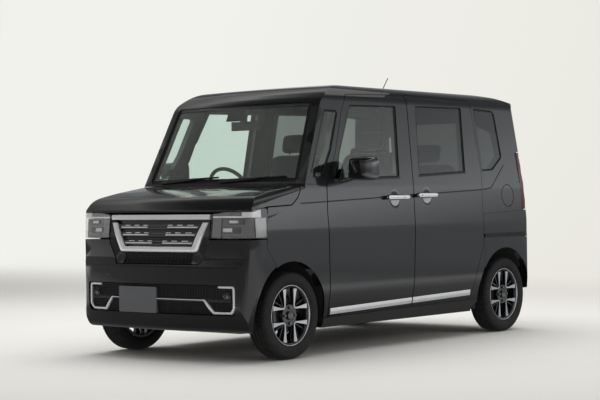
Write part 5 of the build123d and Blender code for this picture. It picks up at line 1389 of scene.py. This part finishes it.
# a rectangular light at a place, turned to the middle of the car and left out of mirror rays
def addAreaLight(name, place, size, energy, target=(0.0, 0.0, 0.8)):
    light = bpy.data.lights.new(name, "AREA")
    light.shape = "RECTANGLE"
    light.size, light.size_y = size
    light.energy = energy
    obj = newObject(name, light)
    away = np.array(place) - np.array(target)
    away /= np.linalg.norm(away)
    right = np.cross((0.0, 0.0, 1.0), away)
    right /= np.linalg.norm(right)
    orient(obj, right, np.cross(away, right), away, place)
    obj.visible_glossy = False


# the camera stands at the place, turn and tilt in the table; roll turns it about its own view
def makeCamera():
    look = dict(place=(7.226, -9.1544, 1.01538), yaw=38.94, pitch=-0.07, roll=-0.74, lens=98.02, sensor=36.0,
                clip=200.0)
    yaw, pitch, roll = (math.radians(look[key]) for key in ("yaw", "pitch", "roll"))
    ahead = np.array([-math.sin(yaw) * math.cos(pitch), math.cos(yaw) * math.cos(pitch), math.sin(pitch)])
    right = np.cross(ahead, (0.0, 0.0, 1.0))
    right /= np.linalg.norm(right)
    up = np.cross(right, ahead)
    data = bpy.data.cameras.new("studioCamera")
    data.lens, data.sensor_width, data.clip_end = look["lens"], look["sensor"], look["clip"]
    camera = newObject("studioCamera", data)
    c, s = math.cos(roll), math.sin(roll)
    orient(camera, c * right + s * up, c * up - s * right, -ahead, look["place"])
    bpy.context.scene.camera = camera


# camera and clear rays see the pale studio, mirror rays a band of wall that is dark at the horizon, bright just
# above it and dim overhead, dimmer ahead of the nose and towards the right; other rays see an even fill
def makeWorld():
    look = dict(seen=(0.87, 0.865, 0.83, 1.0), fill=(0.47, 0.47, 0.475, 1.0), ahead=(0.42, 0.42, 0.42, 1.0),
                black=(0.0, 0.0, 0.0, 1.0),
                band=[(0.0, 0.30), (0.485, 0.34), (0.503, 0.40), (0.53, 1.05), (0.56, 0.95), (0.60, 0.55),
                      (0.775, 0.42), (0.83, 1.25), (0.845, 0.60), (0.88, 0.06), (1.0, 0.03)])
    world = bpy.data.worlds.new("studioWorld")
    world.use_nodes = True
    bpy.context.scene.world = world
    tree = world.node_tree
    tree.nodes["Background"].inputs["Strength"].default_value = 1.0
    rays, place, split = (addNode(tree, kind) for kind in ("LightPath", "TexCoord", "SeparateXYZ"))
    height = addNode(tree, "MapRange", {"From Min": -1.0, "From Max": 1.0})
    ahead = addNode(tree, "MapRange", {"From Min": -0.95, "From Max": 0.1, "To Min": 1.0, "To Max": 0.0})
    leftward = addNode(tree, "MapRange", {"From Min": -0.75, "From Max": 0.3, "To Min": 0.6})
    band = addNode(tree, "ValToRGB")
    fillRamp(band, look["band"])
    lopsided = addNode(tree, "Mix", {6: look["black"]}, data_type="RGBA")
    dim = addNode(tree, "Mix", {0: 1.0, 7: look["ahead"]}, data_type="RGBA", blend_type="MULTIPLY")
    walls = addNode(tree, "Mix", data_type="RGBA")
    mirror = addNode(tree, "Mix", {6: look["fill"]}, data_type="RGBA")
    seen = addNode(tree, "Mix", {7: look["seen"]}, data_type="RGBA")
    clear = addNode(tree, "Math", operation="MAXIMUM")
    wire(tree, (place, "Generated", split, "Vector"), (split, "Z", height, "Value"), (height, "Result", band, "Fac"),
         (split, "Y", ahead, "Value"), (split, "X", leftward, "Value"), (leftward, "Result", lopsided, 0),
         (band, "Color", lopsided, 7), (lopsided, 2, dim, 6), (ahead, "Result", walls, 0), (lopsided, 2, walls, 6),
         (dim, 2, walls, 7), (rays, "Is Glossy Ray", mirror, 0), (walls, 2, mirror, 7),
         (rays, "Is Camera Ray", clear, 0), (rays, "Is Transmission Ray", clear, 1), (clear, "Value", seen, 0),
         (mirror, 2, seen, 6), (seen, 2, tree.nodes["Background"], "Color"))


makeStage()
makeWorld()
makeCamera()
addAreaLight("overheadBox", (-1.3, 1.0, 6.5), (8.0, 7.0), 560.0)
addAreaLight("leftWall", (9.0, 3.5, 3.2), (7.0, 3.0), 150.0)
bpy.context.scene.view_settings.view_transform = "Standard"
print("stage, light and camera placed")
